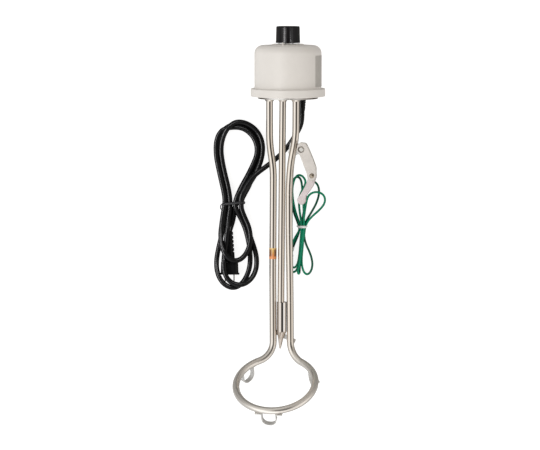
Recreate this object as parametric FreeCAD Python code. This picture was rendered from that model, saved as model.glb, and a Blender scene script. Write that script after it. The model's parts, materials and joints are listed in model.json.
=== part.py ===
import FreeCAD, Part
import math, os

# Portable immersion heater lying on its side, head at +Y, heating ring at -Y.
# Object frame: origin on the head's axis at the flange's lower face, +Y to the
# knob, +X to the viewer's right, +Z up out of the floor, stems in the plane
# z = 0. laid() lays it down as it rests.  Lengths are drawn in units of 1.25 mm,
# so that the heating tube is 8 units across, and every node is brought to
# millimetres by SCALE as it is written.

V = FreeCAD.Vector
SCALE = 1.25           # mm per unit
os.makedirs("parts", exist_ok=True)

# ------------------------------------------------------------ resting pose
ROLL = 9.75            # about the head's axis
PITCH = 6.838          # head's axis rises towards the knob
FLANGE_R = 42.25
REST_X, REST_Y = 20.24, 145.52    # head origin in the floor plan
REST_Z = FLANGE_R * math.cos(math.radians(PITCH))
ORIGIN_X, ORIGIN_Y = 9.963, -0.08  # floor point under the middle of the body
PLAN_SCALE = 1.15      # units per plan step on the floor
PLAN_CX, PLAN_CY = 270.0, 225.0
PLAN_H = 2500.0        # height from which the plan units are seen

# ------------------------------------------------------------ head
CAP_R = 37.9
CAP_WALL = 3.2
CAP_H = 57.7
CAP_SHOULDER = 9.0
FLANGE_H = 9.1
PLATE_R_OUT, PLATE_R_STEP, PLATE_T = 37.5, 34.0, 2.0
PLATE_Y0, PLATE_Y1 = -2.4, 1.2
BOSS_PCD, BOSS_R = 30.6, 4.25
BOSS_ANGLES = (90.0, 210.0, 330.0)
KNOB_R0, KNOB_R1, KNOB_Y0, KNOB_Y1 = 13.9, 13.3, 60.3, 79.0
KNOB_FLUTES, KNOB_RIDGE = 8, -10.9
DIAL_R, DIAL_Y1 = 18.2, 58.9
SHAFT_R, SHAFT_BORE = 2.39, 2.45   # a 6 mm shaft

# ------------------------------------------------------------ tubes
TUBE_R, TUBE_RI = 4.0, 3.5
SENSOR_R, SENSOR_RI = 3.85, 3.3
RING_R = 44.93
RING_TILT = 31.25
RING_CX = -7.345
RING_CY, RING_CZ = -322.63, 40.199
STEM_L = [(-21.1, -53.0), (-16.65, -82.9), (-17.35, -205.0)]
STEM_L_TOP, STEM_L_END = -21.1, -16.85
STEM_R = [(9.15, -46.0), (3.2, -77.0), (1.5, -104.0), (1.6, -150.0), (2.75, -228.0)]
STEM_R_TOP, STEM_R_END = 9.4, 3.1
SHEATH_TOP = 14.0
HEAT_TOP = -30.0

GLAND = (14.1, -13.5)      # x, z on the plate
EARTH = (5.0, -26.0)
CORD_D = 5.8
EARTH_D = 2.5


# ------------------------------------------------------------ helpers
def unit(v):
    w = V(v)
    w.normalize()
    return w


def rounded(pts, radii, closed=False):
    """edges of a polyline whose corners are tangent arcs"""
    n = len(pts)
    ends, mids = [], []
    for i, p in enumerate(pts):
        if (not closed and i in (0, n - 1)) or radii[i] <= 0:
            ends.append((p, p))
            mids.append(None)
            continue
        a = unit(pts[i - 1] - p)
        b = unit(pts[(i + 1) % n] - p)
        turn = math.pi - a.getAngle(b)
        if turn < 1e-5:
            ends.append((p, p))
            mids.append(None)
            continue
        t = radii[i] * math.tan(turn / 2)
        bis = unit(a + b)
        c = p + bis * (radii[i] / math.cos(turn / 2))
        ends.append((p + a * t, p + b * t))
        mids.append(c - bis * radii[i])
    edges = []
    for i in range(n):
        if mids[i] is not None:
            edges.append(Part.Arc(ends[i][0], mids[i], ends[i][1]).toShape())
        j = (i + 1) % n
        if i == n - 1 and not closed:
            break
        if (ends[j][0] - ends[i][1]).Length > 1e-6:
            edges.append(Part.LineSegment(ends[i][1], ends[j][0]).toShape())
    return edges


def face2(pts2, radii, lift):
    pts = [lift(p[0], p[1]) for p in pts2]
    if not isinstance(radii, (list, tuple)):
        radii = [radii] * len(pts)
    return Part.Face(Part.Wire(rounded(pts, radii, True)))


def rev(profile):
    """revolve (r, y) or (r, y, corner radius) points about the Y axis"""
    pts = [(p[0], p[1]) for p in profile]
    rad = [p[2] if len(p) > 2 else 0 for p in profile]
    f = face2(pts, rad, lambda r, y: V(r, y, 0))
    return f.revolve(V(0, 0, 0), V(0, 1, 0), 360)


def moved(s, x=0.0, y=0.0, z=0.0):
    s = s.copy()
    s.translate(V(x, y, z))
    return s


def cyl(r, p, d, h):
    return Part.makeCylinder(r, h, p, d)


def ycyl(r, x, z, y0, y1):
    return Part.makeCylinder(r, y1 - y0, V(x, y0, z), V(0, 1, 0))


def ycone(r0, r1, x, z, y0, y1):
    return Part.makeCone(r0, r1, y1 - y0, V(x, y0, z), V(0, 1, 0))


def box(x0, x1, y0, y1, z0, z1):
    return Part.makeBox(x1 - x0, y1 - y0, z1 - z0, V(x0, y0, z0))


def sweep(edges, r):
    w = Part.Wire(edges)
    e0 = w.OrderedEdges[0]
    v0 = w.OrderedVertexes[0].Point
    a = e0.valueAt(e0.FirstParameter)
    if (a - v0).Length < 1e-6:
        d = e0.tangentAt(e0.FirstParameter)
    else:
        d = e0.tangentAt(e0.LastParameter) * -1
    prof = Part.Wire(Part.makeCircle(r, v0, d))
    s = w.makePipeShell([prof], True, False)
    if s.ShapeType != "Solid":
        s = s.Solids[0]
    return s, w.Length


def line_x(p0, p1, y):
    return p0[0] + (p1[0] - p0[0]) * (y - p0[1]) / (p1[1] - p0[1])


REPORT = []
SHAPES = {}


def add(name, shape, group=False):
    if not group and shape.ShapeType != "Solid":
        if len(shape.Solids) == 1:
            shape = shape.Solids[0]
    SHAPES[name] = shape


# ------------------------------------------------------------ ring and stems
tilt = math.radians(RING_TILT)
RF = V(0, -math.sin(tilt), math.cos(tilt))      # up the slope, to the front
RN = V(0, math.cos(tilt), math.sin(tilt))       # ring's normal, head side
RX = V(1, 0, 0)
RC = V(RING_CX, RING_CY, RING_CZ)
g = RING_CZ / RF.z


def bend(side, h):
    """tangent points and bend radius between a stem and the ring"""
    lo, hi = math.radians(5), math.radians(80)
    fn = lambda b: h * math.sin(b) + g * math.cos(b) - RING_R
    # the wanted root is past the maximum of fn
    top = math.atan2(h, g)
    lo = top
    for _ in range(80):
        m = (lo + hi) / 2
        if fn(m) > 0:
            lo = m
        else:
            hi = m
    b = (lo + hi) / 2
    s = (g - RING_R * math.cos(b)) / math.sin(b)
    P = RC + RX * (side * RING_R * math.sin(b)) - RF * (RING_R * math.cos(b))
    T = RX * (side * math.cos(b)) + RF * math.sin(b)
    Q = P - T * s
    u = V(0, -1, 0)
    turn = u.getAngle(T)
    rb = s / math.tan(turn / 2)
    S = Q + V(0, s, 0)
    n = unit(T - u * u.dot(T))
    c = S + n * rb
    mid = c + unit((S - c) + (P - c)) * rb
    return b, S, mid, P, rb


bL, SL, ML, PL, rbL = bend(-1, RING_CX - STEM_L_END)
bR, SR, MR, PR, rbR = bend(1, STEM_R_END - RING_CX)
print("bend radii %.2f %.2f, stem ends %.2f,%.2f and %.2f,%.2f, z %.3f %.3f"
      % (rbL, rbR, SL.x, SL.y, SR.x, SR.y, SL.z, SR.z))


def ring_point(deg, r=RING_R, drop=0.0):
    a = math.radians(deg)
    return RC + RX * (r * math.cos(a)) - RF * (r * math.sin(a)) - RN * drop


def ring_dirs(deg):
    a = math.radians(deg)
    rad = RX * math.cos(a) - RF * math.sin(a)
    tan = RX * (-math.sin(a)) - RF * math.cos(a)
    return rad, tan


def stem_radii(pts, lens):
    out = []
    for i in range(1, len(pts) - 1):
        a = unit(pts[i - 1] - pts[i])
        b = unit(pts[i + 1] - pts[i])
        turn = math.pi - a.getAngle(b)
        out.append(lens / math.tan(turn / 2))
    return out


def element_path(top):
    z0 = 0.0
    left = [V(STEM_L_TOP, top, z0)] + [V(x, y, z0) for x, y in STEM_L] + [SL]
    right = [V(STEM_R_TOP, top, z0)] + [V(x, y, z0) for x, y in STEM_R] + [SR]
    el = rounded(left, [0] + stem_radii(left, 10.5) + [0])
    er = rounded(right, [0] + stem_radii(right, 10.0) + [0])
    er_rev = []
    for e in reversed(er):
        a, b = e.Vertexes[0].Point, e.Vertexes[-1].Point
        c = e.Curve
        if isinstance(c, Part.Line) or c.TypeId == "Part::GeomLine":
            er_rev.append(Part.LineSegment(b, a).toShape())
        else:
            m = e.valueAt((e.FirstParameter + e.LastParameter) / 2)
            er_rev.append(Part.Arc(b, m, a).toShape())
    mid = [Part.Arc(SL, ML, PL).toShape(),
           Part.Arc(PL, ring_point(270.0), PR).toShape(),
           Part.Arc(PR, MR, SR).toShape()]
    return el + mid + er_rev


outer, length = sweep(element_path(SHEATH_TOP), TUBE_R)
inner, _ = sweep(element_path(SHEATH_TOP), TUBE_RI)
print("sheath length %.1f, volume/section/length %.4f"
      % (length, outer.Volume / (math.pi * TUBE_R ** 2 * length)))
sheath = outer.cut(inner)
add("element_sheath", sheath)

pinL0, pinL1 = V(STEM_L_TOP, SHEATH_TOP, 0), V(STEM_L[0][0], STEM_L[0][1], 0)
pinR0, pinR1 = V(STEM_R_TOP, SHEATH_TOP, 0), V(STEM_R[0][0], STEM_R[0][1], 0)


def on(p0, p1, y):
    return p0 + (p1 - p0) * ((y - p0.y) / (p1.y - p0.y))


dLs = unit(pinL0 - pinL1)
dRs = unit(pinR0 - pinR1)
pins = []
seals = []
for top, d in ((pinL0, dLs), (pinR0, dRs)):
    start = top - d * (SHEATH_TOP - HEAT_TOP)
    pins.append(cyl(1.3, start, d, SHEATH_TOP - HEAT_TOP + 6.0))
    seals.append(cyl(TUBE_RI, top - d * 2.0, d, 2.6).cut(
        cyl(1.3, top - d * 3.0, d, 6.0)))
add("cold_pins", Part.makeCompound(pins), True)
add("end_seals", Part.makeCompound(seals), True)


def element_path_from(dist):
    edges = element_path(SHEATH_TOP)
    first, last = edges[0], edges[-1]
    a0 = pinL0 - dLs * dist
    pts = [v.Point for v in first.Vertexes]
    far = pts[0] if (pts[0] - pinL0).Length > (pts[1] - pinL0).Length else pts[1]
    edges[0] = Part.LineSegment(a0, far).toShape()
    pts = [v.Point for v in last.Vertexes]
    far = pts[0] if (pts[0] - pinR0).Length > (pts[1] - pinR0).Length else pts[1]
    edges[-1] = Part.LineSegment(far, pinR0 - dRs * dist).toShape()
    return edges


# heated wire starts on the pins' ends
wire, _ = sweep(element_path_from(SHEATH_TOP - HEAT_TOP + 0.02), 1.3)
add("heating_wire", wire)
fill_o, _ = sweep(element_path_from(2.06), TUBE_RI - 0.05)
fill_i, _ = sweep(element_path_from(2.06), 1.35)
add("insulation_fill", fill_o.cut(fill_i))

# ------------------------------------------------------------ head cap
t = CAP_WALL
ri = CAP_R - t + 0.1
cap = rev([(CAP_R, CAP_H, CAP_SHOULDER), (CAP_R, FLANGE_H, 0.8),
           (FLANGE_R, FLANGE_H, 1.2), (FLANGE_R, 0.0, 1.0),
           (PLATE_R_OUT + 0.2, 0.0), (PLATE_R_OUT + 0.2, 2.2), (ri, 2.2),
           (ri, CAP_H - t, CAP_SHOULDER - t), (0, CAP_H - t), (0, CAP_H)])
adds, cuts = [], []
adds.append(ycyl(6.5, 0, 0, 50.0, CAP_H - t + 0.5))
for sx in (-14.0, 14.0):
    adds.append(ycyl(4.0, sx, 0, 49.0, CAP_H - t + 0.5))
    cuts.append(ycyl(1.6, sx, 0, 48.0, CAP_H + 1))
    cuts.append(ycone(1.6, 3.0, sx, 0, CAP_H - 1.5, CAP_H))
for a in BOSS_ANGLES:
    bx, bz = BOSS_PCD * math.cos(math.radians(a)), BOSS_PCD * math.sin(math.radians(a))
    boss = ycyl(BOSS_R, bx, bz, PLATE_Y1, 18.0)
    web = box(BOSS_PCD - 1.0, ri + 0.6, 2.2, 18.0, -2.5, 2.5)
    web.rotate(V(0, 0, 0), V(0, 1, 0), -a)
    adds += [boss, web]
    cuts.append(ycyl(1.4, bx, bz, 0.0, 16.0))
cap = cap.fuse(adds)
cuts.append(ycyl(SHAFT_BORE, 0, 0, 45.0, CAP_H + 1))
cuts.append(ycyl(5.2, 0, 0, CAP_H - 2.5, CAP_H + 1))
cap = cap.cut(cuts)
add("head_cap", cap.removeSplitter())

# ------------------------------------------------------------ plate, gasket, screws
plate = rev([(0, PLATE_Y0), (PLATE_R_STEP, PLATE_Y0, 0.3), (PLATE_R_STEP, 0.0),
             (PLATE_R_OUT, 0.0), (PLATE_R_OUT, PLATE_Y1), (0, PLATE_Y1)])
holes = []


def sensor_axis(y):
    return -5.75 + (-7.9 + 5.75) * (8.64 - y) / (8.64 + 237.36)


def tube_solid(p, d, r, h0, h1):
    return cyl(r, p + d * h0, d, h1 - h0)


holes.append(tube_solid(pinL0, dLs * -1, TUBE_R, 0, 30))
holes.append(tube_solid(pinR0, dRs * -1, TUBE_R, 0, 30))
s_top, s_bot = V(sensor_axis(8.64), 8.64, 0), V(sensor_axis(-237.0), -237.0, 0)
dS = unit(s_bot - s_top)
holes.append(cyl(SENSOR_R, s_top, dS, 30))
holes.append(ycyl(5.0, GLAND[0], GLAND[1], -3, 3))
holes.append(ycyl(2.6, EARTH[0], EARTH[1], -3, 3))
EARTH_SCREW = (-9.0, -20.0)
holes.append(ycyl(2.0, EARTH_SCREW[0], EARTH_SCREW[1], -3, 3))
screws = []
for a in BOSS_ANGLES:
    bx, bz = BOSS_PCD * math.cos(math.radians(a)), BOSS_PCD * math.sin(math.radians(a))
    holes.append(ycyl(1.7, bx, bz, -3, 3))
    holes.append(ycone(2.9, 1.7, bx, bz, PLATE_Y0, PLATE_Y0 + 1.2))
    sc = ycone(2.85, 1.65, bx, bz, PLATE_Y0, PLATE_Y0 + 1.2).fuse(
        ycyl(1.4, bx, bz, PLATE_Y0 + 1.0, 13.5))
    for q in (0, 90):
        slot = box(-1.7, 1.7, PLATE_Y0 - 1, PLATE_Y0 + 0.7, -0.3, 0.3)
        slot.rotate(V(0, 0, 0), V(0, 1, 0), q)
        sc = sc.cut(moved(slot, bx, 0, bz))
    screws.append(sc.Solids[0])
plate = plate.cut(holes)
add("base_plate", plate)
add("plate_screws", Part.makeCompound(screws), True)
gasket = ycyl(PLATE_R_OUT + 0.1, 0, 0, PLATE_Y1, 2.2).cut(ycyl(ri + 0.1, 0, 0, 0, 4))
for a in BOSS_ANGLES:
    bx, bz = BOSS_PCD * math.cos(math.radians(a)), BOSS_PCD * math.sin(math.radians(a))
    gasket = gasket.cut(ycyl(BOSS_R + 0.05, bx, bz, 0, 4))
add("plate_gasket", gasket)

# collars at the three tubes
collars = []
for p, d, r in ((on(pinL0, pinL1, PLATE_Y0), dLs * -1, TUBE_R),
                (s_top + dS * (8.64 - PLATE_Y0), dS, SENSOR_R),
                (on(pinR0, pinR1, PLATE_Y0), dRs * -1, TUBE_R)):
    c = Part.makeCone(6.4, r + 0.55, 3.3, V(p.x, PLATE_Y0, 0), V(0, -1, 0))
    c = c.cut(cyl(r, p - d * 6, d, 14))
    collars.append(c.Solids[0])
add("tube_collars", Part.makeCompound(collars), True)

# ------------------------------------------------------------ knob and dial
knob = rev([(0, KNOB_Y0), (KNOB_R0, KNOB_Y0, 0.5), (KNOB_R1, KNOB_Y1, 1.4), (0, KNOB_Y1)])
cut_r, depth = 9.0, 0.95
flutes = []
for k in range(KNOB_FLUTES):
    th = math.radians(KNOB_RIDGE + 360.0 / KNOB_FLUTES * (k + 0.5))
    rc = KNOB_R0 - depth + cut_r
    flutes.append(ycyl(cut_r, rc * math.sin(th), rc * math.cos(th), KNOB_Y0 + 1.4, KNOB_Y1 + 3))
knob = knob.cut(flutes)
knob = knob.cut(ycyl(SHAFT_R, 0, 0, KNOB_Y0 - 1, 74.0))
knob = knob.cut(ycyl(9.0, 0, 0, KNOB_Y0 - 1, KNOB_Y0 + 1.2).cut(ycyl(5.6, 0, 0, KNOB_Y0 - 2, KNOB_Y0 + 2)))
th = math.radians(KNOB_RIDGE)
line = box(-0.5, 0.5, KNOB_Y1 - 0.5, KNOB_Y1 + 1, 3.0, 12.4)
line.rotate(V(0, 0, 0), V(0, 1, 0), KNOB_RIDGE)
knob = knob.cut(line)
add("knob", knob)

dial = rev([(5.3, CAP_H), (DIAL_R, CAP_H), (DIAL_R, DIAL_Y1, 0.5), (5.3, DIAL_Y1)])
ticks = []
for k in range(10):
    a = KNOB_RIDGE + k * 30.0
    w = 0.9 if k == 0 else 0.45
    h = 2.1 if k == 0 else 0.35
    tk = box(-w, w, DIAL_Y1 - 0.2, DIAL_Y1 + h, 14.6, 17.4)
    tk.rotate(V(0, 0, 0), V(0, 1, 0), a)
    ticks.append(tk)
add("dial_ring", dial.fuse(ticks))

shaft = ycyl(SHAFT_R, 0, 0, 42.0, 74.0).fuse(ycyl(7.0, 0, 0, 41.0, 44.0))
add("thermostat_shaft", shaft)
add("shaft_seal", ycyl(5.2, 0, 0, CAP_H - 2.5, CAP_H).cut(ycyl(3.05, 0, 0, 50, 60)))

# ------------------------------------------------------------ thermostat
BY0, BY1 = 24.0, 48.0
body = box(-17, 17, BY0, BY1, -12, 12)
body = body.makeFillet(1.2, [e for e in body.Edges if abs(e.Vertexes[0].Point.y - e.Vertexes[1].Point.y) > 5])
body = body.cut(box(-15, 15, BY0 + 2, BY1 - 2, -10, 10))
body = body.cut(ycyl(SHAFT_BORE, 0, 0, BY1 - 4, BY1 + 1))
add("thermostat_body", body)
br = box(-19, 19, BY1, BY1 + 1.0, -10, 10)
br = br.fuse([box(-8, 8, BY1 - 9, BY1 + 1.0, 12.0, 13.0), box(-8, 8, BY1 - 9, BY1 + 1.0, -13.0, -12.0),
              box(-8, 8, BY1, BY1 + 1.0, -13.0, 13.0)])
br = br.cut([ycyl(3.6, 0, 0, 40, 60), ycyl(1.45, -14, 0, 40, 60), ycyl(1.45, 14, 0, 40, 60)])
add("thermostat_bracket", br.removeSplitter())
ts = []
for sx in (-14.0, 14.0):
    s = ycyl(1.45, sx, 0, BY1, CAP_H - 1.4).fuse(ycone(1.5, 2.85, sx, 0, CAP_H - 1.5, CAP_H - 0.05))
    for q in (0, 90):
        slot = box(-1.7, 1.7, CAP_H - 0.8, CAP_H + 1, -0.3, 0.3)
        slot.rotate(V(0, 0, 0), V(0, 1, 0), q)
        s = s.cut(moved(slot, sx, 0, 0))
    ts.append(s.Solids[0])
add("thermostat_screws", Part.makeCompound(ts), True)

# ------------------------------------------------------------ sensor tube, pocket, bulb
sens = cyl(SENSOR_R, s_top, dS, (s_bot - s_top).Length).cut(
    cyl(SENSOR_RI, s_top - dS, dS, (s_bot - s_top).Length + 2))
add("sensor_tube", sens)
PX, PY0, PY1 = -6.95, -235.4, -269.6
PR_O, PR_I = 5.55, 5.0


def ycirc(r, x, y, z=0.0):
    return Part.Wire(Part.makeCircle(r, V(x, y, z), V(0, 1, 0)))


pocket = ycyl(PR_O, PX, 0, PY1, PY0)
tail = Part.makeLoft([ycirc(PR_O, PX, PY1), ycirc(3.0, -8.0, -277.2)], True, True)
tip = Part.makeLoft([ycirc(3.0, -8.0, -277.2), ycirc(0.9, -8.8, -289.4)], True, True)
pocket = pocket.fuse([tail, tip])
pocket = pocket.cut([ycyl(PR_I, PX, 0, PY1 + 0.5, PY0 - 0.9), cyl(SENSOR_R, s_bot - dS * 12, dS, 12.02 + 0.0)])
pocket = pocket.cut(cyl(SENSOR_RI, s_bot - dS * 5, dS, 8.0))
pocket = pocket.cut(box(-8.35, -7.95, -278.5, -271.5, 1.9, 8))
add("sensor_pocket", pocket)
cap_end = V(sensor_axis(-240.0), -240.0, 0)
c_top = V(sensor_axis(24.0), 24.0, 0)
add("capillary_tube", cyl(0.9, c_top, unit(cap_end - c_top), (cap_end - c_top).Length))
bulb = ycyl(4.2, PX, 0, -267.5, -240.0)
bulb = bulb.makeFillet(1.2, [e for e in bulb.Edges if e.Curve.TypeId == "Part::GeomCircle"])
add("sensor_bulb", bulb)

# ------------------------------------------------------------ stay strap
strap = box(-14.0, 14.0, -2.5, 2.5, -4.95, -3.75)
strap.rotate(V(0, 0, 0), V(0, 0, 1), -25.3)
strap = moved(strap, -4.65, -275.6).cut([outer, pocket])
strap = sorted(strap.Solids, key=lambda s: -s.Volume)[0]
add("stay_strap", strap)

# ------------------------------------------------------------ feet
FOOT_W, FOOT_T, FOOT_HALF, TAB_HALF = 5.5, 1.1, 8.7, 15.6


def foot(deg, drop, mirror=1):
    rad, tan = ring_dirs(deg)
    base = ring_point(deg)
    o = -TUBE_R
    # outline in (tangent, height) with the strip's underside and its inside
    pts = [(-TAB_HALF, o + 0.7), (-FOOT_HALF + FOOT_T, o + 0.7), (-FOOT_HALF + FOOT_T, -drop + FOOT_T + 0.0),
           (FOOT_HALF - FOOT_T, -drop + FOOT_T), (FOOT_HALF - FOOT_T, o + 0.7), (TAB_HALF, o + 0.7),
           (TAB_HALF, o - 0.6), (FOOT_HALF, o - 0.6), (FOOT_HALF, -drop), (-FOOT_HALF, -drop),
           (-FOOT_HALF, o - 0.6), (-TAB_HALF, o - 0.6)]
    rads = [0, 1.5, 6.9, 6.9, 1.5, 0, 0, 0.4, 8.0, 8.0, 0.4, 0]
    lift = lambda a, b: base + tan * a + RN * b - rad * (FOOT_W / 2)
    f = face2(pts, rads, lift)
    s = f.extrude(rad * FOOT_W)
    s = s.cut(outer)
    return sorted(s.Solids, key=lambda q: -q.Volume)[0]


FOOT_DROP = 20.0
FEET = {"foot_front": -92.0, "foot_left": 149.0, "foot_right": 28.5}
FOOT_AT = {}

# ------------------------------------------------------------ level band, rating plate
pl0, pl1 = V(STEM_L[1][0], STEM_L[1][1], 0), V(STEM_L[2][0], STEM_L[2][1], 0)
dB = unit(pl1 - pl0)


def stem_l(y):
    return pl0 + (pl1 - pl0) * ((y - pl0.y) / (pl1.y - pl0.y))


b0 = stem_l(-173.1)
add("level_band", cyl(4.25, b0, dB, 12.5).cut(cyl(4.0, b0 - dB, dB, 15)))

RP0, RP1 = 63.5, 137.0
lab = ycyl(CAP_R + 0.2, 0, 0, 11.6, 46.6).cut(ycyl(CAP_R, 0, 0, 5, 50))
big = 60.0
a0, a1 = math.radians(RP0), math.radians(RP1)
am = (a0 + a1) / 2
wedge = Part.Face(Part.makePolygon([V(0, 5, 0), V(big * math.sin(a0), 5, big * math.cos(a0)),
                                    V(big * 1.6 * math.sin(am), 5, big * 1.6 * math.cos(am)),
                                    V(big * math.sin(a1), 5, big * math.cos(a1)), V(0, 5, 0)])).extrude(V(0, 50, 0))
add("rating_plate", lab.common(wedge))

# ------------------------------------------------------------ hook
PIV = (16.46, -59.56)
RIV = (28.89, -89.06)
TIP = (16.11, -117.66)
UP_Z0, UP_Z1 = 4.2, 8.4
LO_Z0, LO_Z1 = -1.0, 3.9
ZD = V(0, 0, 1)
up_pts = [(12.2, -54.0), (15.6, -51.4), (22.2, -52.0), (25.4, -58.4), (30.7, -70.8), (33.9, -79.6),
          (33.8, -89.4), (31.8, -94.4), (27.2, -95.2), (23.6, -91.4), (22.8, -86.6), (15.0, -66.4), (11.3, -60.2)]
up_rad = [2.5, 3.0, 3.4, 5.0, 30.0, 12.0, 6.0, 2.2, 2.6, 3.0, 9.0, 5.0, 3.5]
arm = face2(up_pts, up_rad, lambda x, y: V(x, y, UP_Z0)).extrude(V(0, 0, UP_Z1 - UP_Z0))


def edge_round(s, r, z):
    try:
        es = [e for e in s.Edges if all(abs(v.Point.z - z) < 1e-6 for v in e.Vertexes)
              and abs(e.CenterOfMass.z - z) < 1e-6]
        q = s.makeFillet(r, es)
        if q.isValid() and abs(q.Volume / s.Volume - 1) < 0.15:
            return q
    except Exception as ex:
        print("no edge rounding at z", z, ex)
    return s


arm = edge_round(arm, 0.9, UP_Z1)
arm = edge_round(arm, 0.5, UP_Z0)
arm = arm.cut([cyl(2.05, V(PIV[0], PIV[1], -10), ZD, 30), cyl(3.9, V(PIV[0], PIV[1], UP_Z1 - 2.2), ZD, 5),
               cyl(1.5, V(RIV[0], RIV[1], -10), ZD, 30)])
add("hook_arm_upper", arm)

lo_pts = [(23.7, -90.6), (23.0, -94.6), (20.2, -101.7), (16.1, -108.9), (12.6, -114.2), (17.5, -120.0),
          (21.0, -117.2), (21.4, -112.9), (25.5, -107.6), (29.6, -101.6), (33.3, -91.0), (29.0, -86.6)]
lo = face2(lo_pts, [0, 3, 12, 14, 0, 0, 0, 4, 14, 12, 0, 0], lambda x, y: V(x, y, LO_Z0)).extrude(V(0, 0, LO_Z1 - LO_Z0))
lo = lo.fuse([cyl(4.5, V(RIV[0], RIV[1], LO_Z0), ZD, LO_Z1 - LO_Z0), cyl(4.9, V(TIP[0], TIP[1], LO_Z0), ZD, LO_Z1 - LO_Z0)])
lo = lo.removeSplitter()
lo = edge_round(lo, 0.9, LO_Z1)
lo = edge_round(lo, 0.9, LO_Z0)
lo = lo.cut(cyl(1.55, V(RIV[0], RIV[1], -10), ZD, 30))
add("hook_arm_lower", lo)
riv = cyl(1.5, V(RIV[0], RIV[1], LO_Z0 - 0.2), ZD, UP_Z1 - LO_Z0 + 0.4)
riv = riv.fuse([Part.makeSphere(4.4, V(RIV[0], RIV[1], UP_Z1 + 1.1 - 4.4)).common(cyl(2.9, V(RIV[0], RIV[1], UP_Z1), ZD, 3)),
                cyl(2.7, V(RIV[0], RIV[1], LO_Z0 - 0.9), ZD, 0.8)])
add("hook_rivet", riv)

# lug on the right stem, cut to the tube, with the pivot screw through it
la, lb = V(STEM_R[0][0], STEM_R[0][1], 0), V(STEM_R[1][0], STEM_R[1][1], 0)
dlug = unit(lb - la)
mid_l = la + dlug * ((-59.5 - la.y) / dlug.y)
saddle = cyl(5.2, mid_l - dlug * 6.2, dlug, 12.4).common(box(-5, 30, -80, -40, -8, 0.6))
lug = face2([(6.0, -53.4), (16.5, -53.9), (21.6, -56.0), (21.6, -63.0), (16.5, -65.4), (5.0, -66.0)],
            [0, 2.5, 3.5, 3.5, 2.5, 0], lambda x, y: V(x, y, -0.9)).extrude(V(0, 0, 1.5))
lug = lug.fuse(saddle).cut([outer, cyl(2.0, V(PIV[0], PIV[1], -10), ZD, 20)])
lug = lug.common(box(-5, 40, -80, -40, -9, 0.6))
lug = sorted(lug.Solids, key=lambda s: -s.Volume)
print("lug solids", [round(s.Volume, 2) for s in lug])
boss = cyl(4.8, V(PIV[0], PIV[1], 0.2), ZD, UP_Z0 - 0.1 - 0.2).cut(cyl(2.0, V(PIV[0], PIV[1], -10), ZD, 20))
add("hook_bracket", lug[0].fuse(boss).removeSplitter())
scr = cyl(2.0, V(PIV[0], PIV[1], -3.8), ZD, UP_Z1 - 0.2 + 3.8)
head = Part.makeSphere(4.6, V(PIV[0], PIV[1], UP_Z1 - 0.3 - 4.6)).common(cyl(3.3, V(PIV[0], PIV[1], UP_Z1 - 2.0), ZD, 4))
scr = scr.fuse(head)
scr = scr.cut(box(PIV[0] - 4, PIV[0] + 4, PIV[1] - 0.4, PIV[1] + 0.4, UP_Z1 - 1.2, UP_Z1 + 3))
hexp = [(PIV[0] + 3.5 * math.cos(math.radians(60 * k)), PIV[1] + 3.5 * math.sin(math.radians(60 * k))) for k in range(6)]
nut = face2(hexp, 0, lambda x, y: V(x, y, -3.3)).extrude(V(0, 0, 2.4))
nut = nut.cut(cyl(2.0, V(PIV[0], PIV[1], -6), ZD, 12))
add("hook_screw", scr)
add("hook_nut", nut)

# ------------------------------------------------------------ gland, grommet, inner wiring
GL_END = -17.0
gl = ycone(3.35, 4.6, GLAND[0], GLAND[1], GL_END, -3.6).fuse([
    ycyl(4.6, GLAND[0], GLAND[1], -3.6, PLATE_Y0), ycyl(5.0, GLAND[0], GLAND[1], PLATE_Y0, 6.0)])
rings = []
for k, y in enumerate((-6.0, -9.0, -12.0)):
    rr = 5.2
    ring = ycyl(6.0, GLAND[0], GLAND[1], y - 0.45, y + 0.45).cut(
        ycyl(4.6 + (y + 3.6) * (4.6 - 3.35) / 13.4 - 0.45, GLAND[0], GLAND[1], y - 1, y + 1))
    rings.append(ring)
gl = gl.cut(rings)
add("cord_gland", gl)
hexp = [(GLAND[0] + 8.0 * math.cos(math.radians(60 * k)), GLAND[1] + 8.0 * math.sin(math.radians(60 * k))) for k in range(6)]
gn = face2(hexp, 0, lambda x, z: V(x, PLATE_Y1, z)).extrude(V(0, 3.6, 0)).cut(ycyl(5.0, GLAND[0], GLAND[1], 0, 9))
add("gland_nut", gn)
gr = ycyl(3.6, EARTH[0], EARTH[1], -3.8, PLATE_Y0).fuse([ycyl(2.6, EARTH[0], EARTH[1], PLATE_Y0, PLATE_Y1),
                                                       ycyl(3.4, EARTH[0], EARTH[1], PLATE_Y1, 2.4)])
add("earth_grommet", gr)
es = ycyl(2.0, EARTH_SCREW[0], EARTH_SCREW[1], PLATE_Y0 + 0.0, 3.0).fuse(ycyl(3.6, EARTH_SCREW[0], EARTH_SCREW[1], PLATE_Y1 + 0.9, 4.6))
es = es.fuse(ycyl(4.2, EARTH_SCREW[0], EARTH_SCREW[1], PLATE_Y1, PLATE_Y1 + 0.9))
es = es.cut(box(EARTH_SCREW[0] - 5, EARTH_SCREW[0] + 5, 3.6, 6, EARTH_SCREW[1] - 0.4, EARTH_SCREW[1] + 0.4))
add("earth_screw", es)
tb = box(-13, 13, PLATE_Y1, 11.0, 12.0, 23.0)
tb = tb.makeFillet(0.8, tb.Edges)
for x in (-9.0, -3.0, 3.0, 9.0):
    tb = tb.cut(ycyl(1.5, x, 20.4, 6, 12))
add("terminal_block", tb)
cut_c = (22.0, 9.0)
co = ycyl(5.5, cut_c[0], cut_c[1], PLATE_Y1, 6.0).fuse(ycyl(6.2, cut_c[0], cut_c[1], PLATE_Y1, 2.0))
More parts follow.
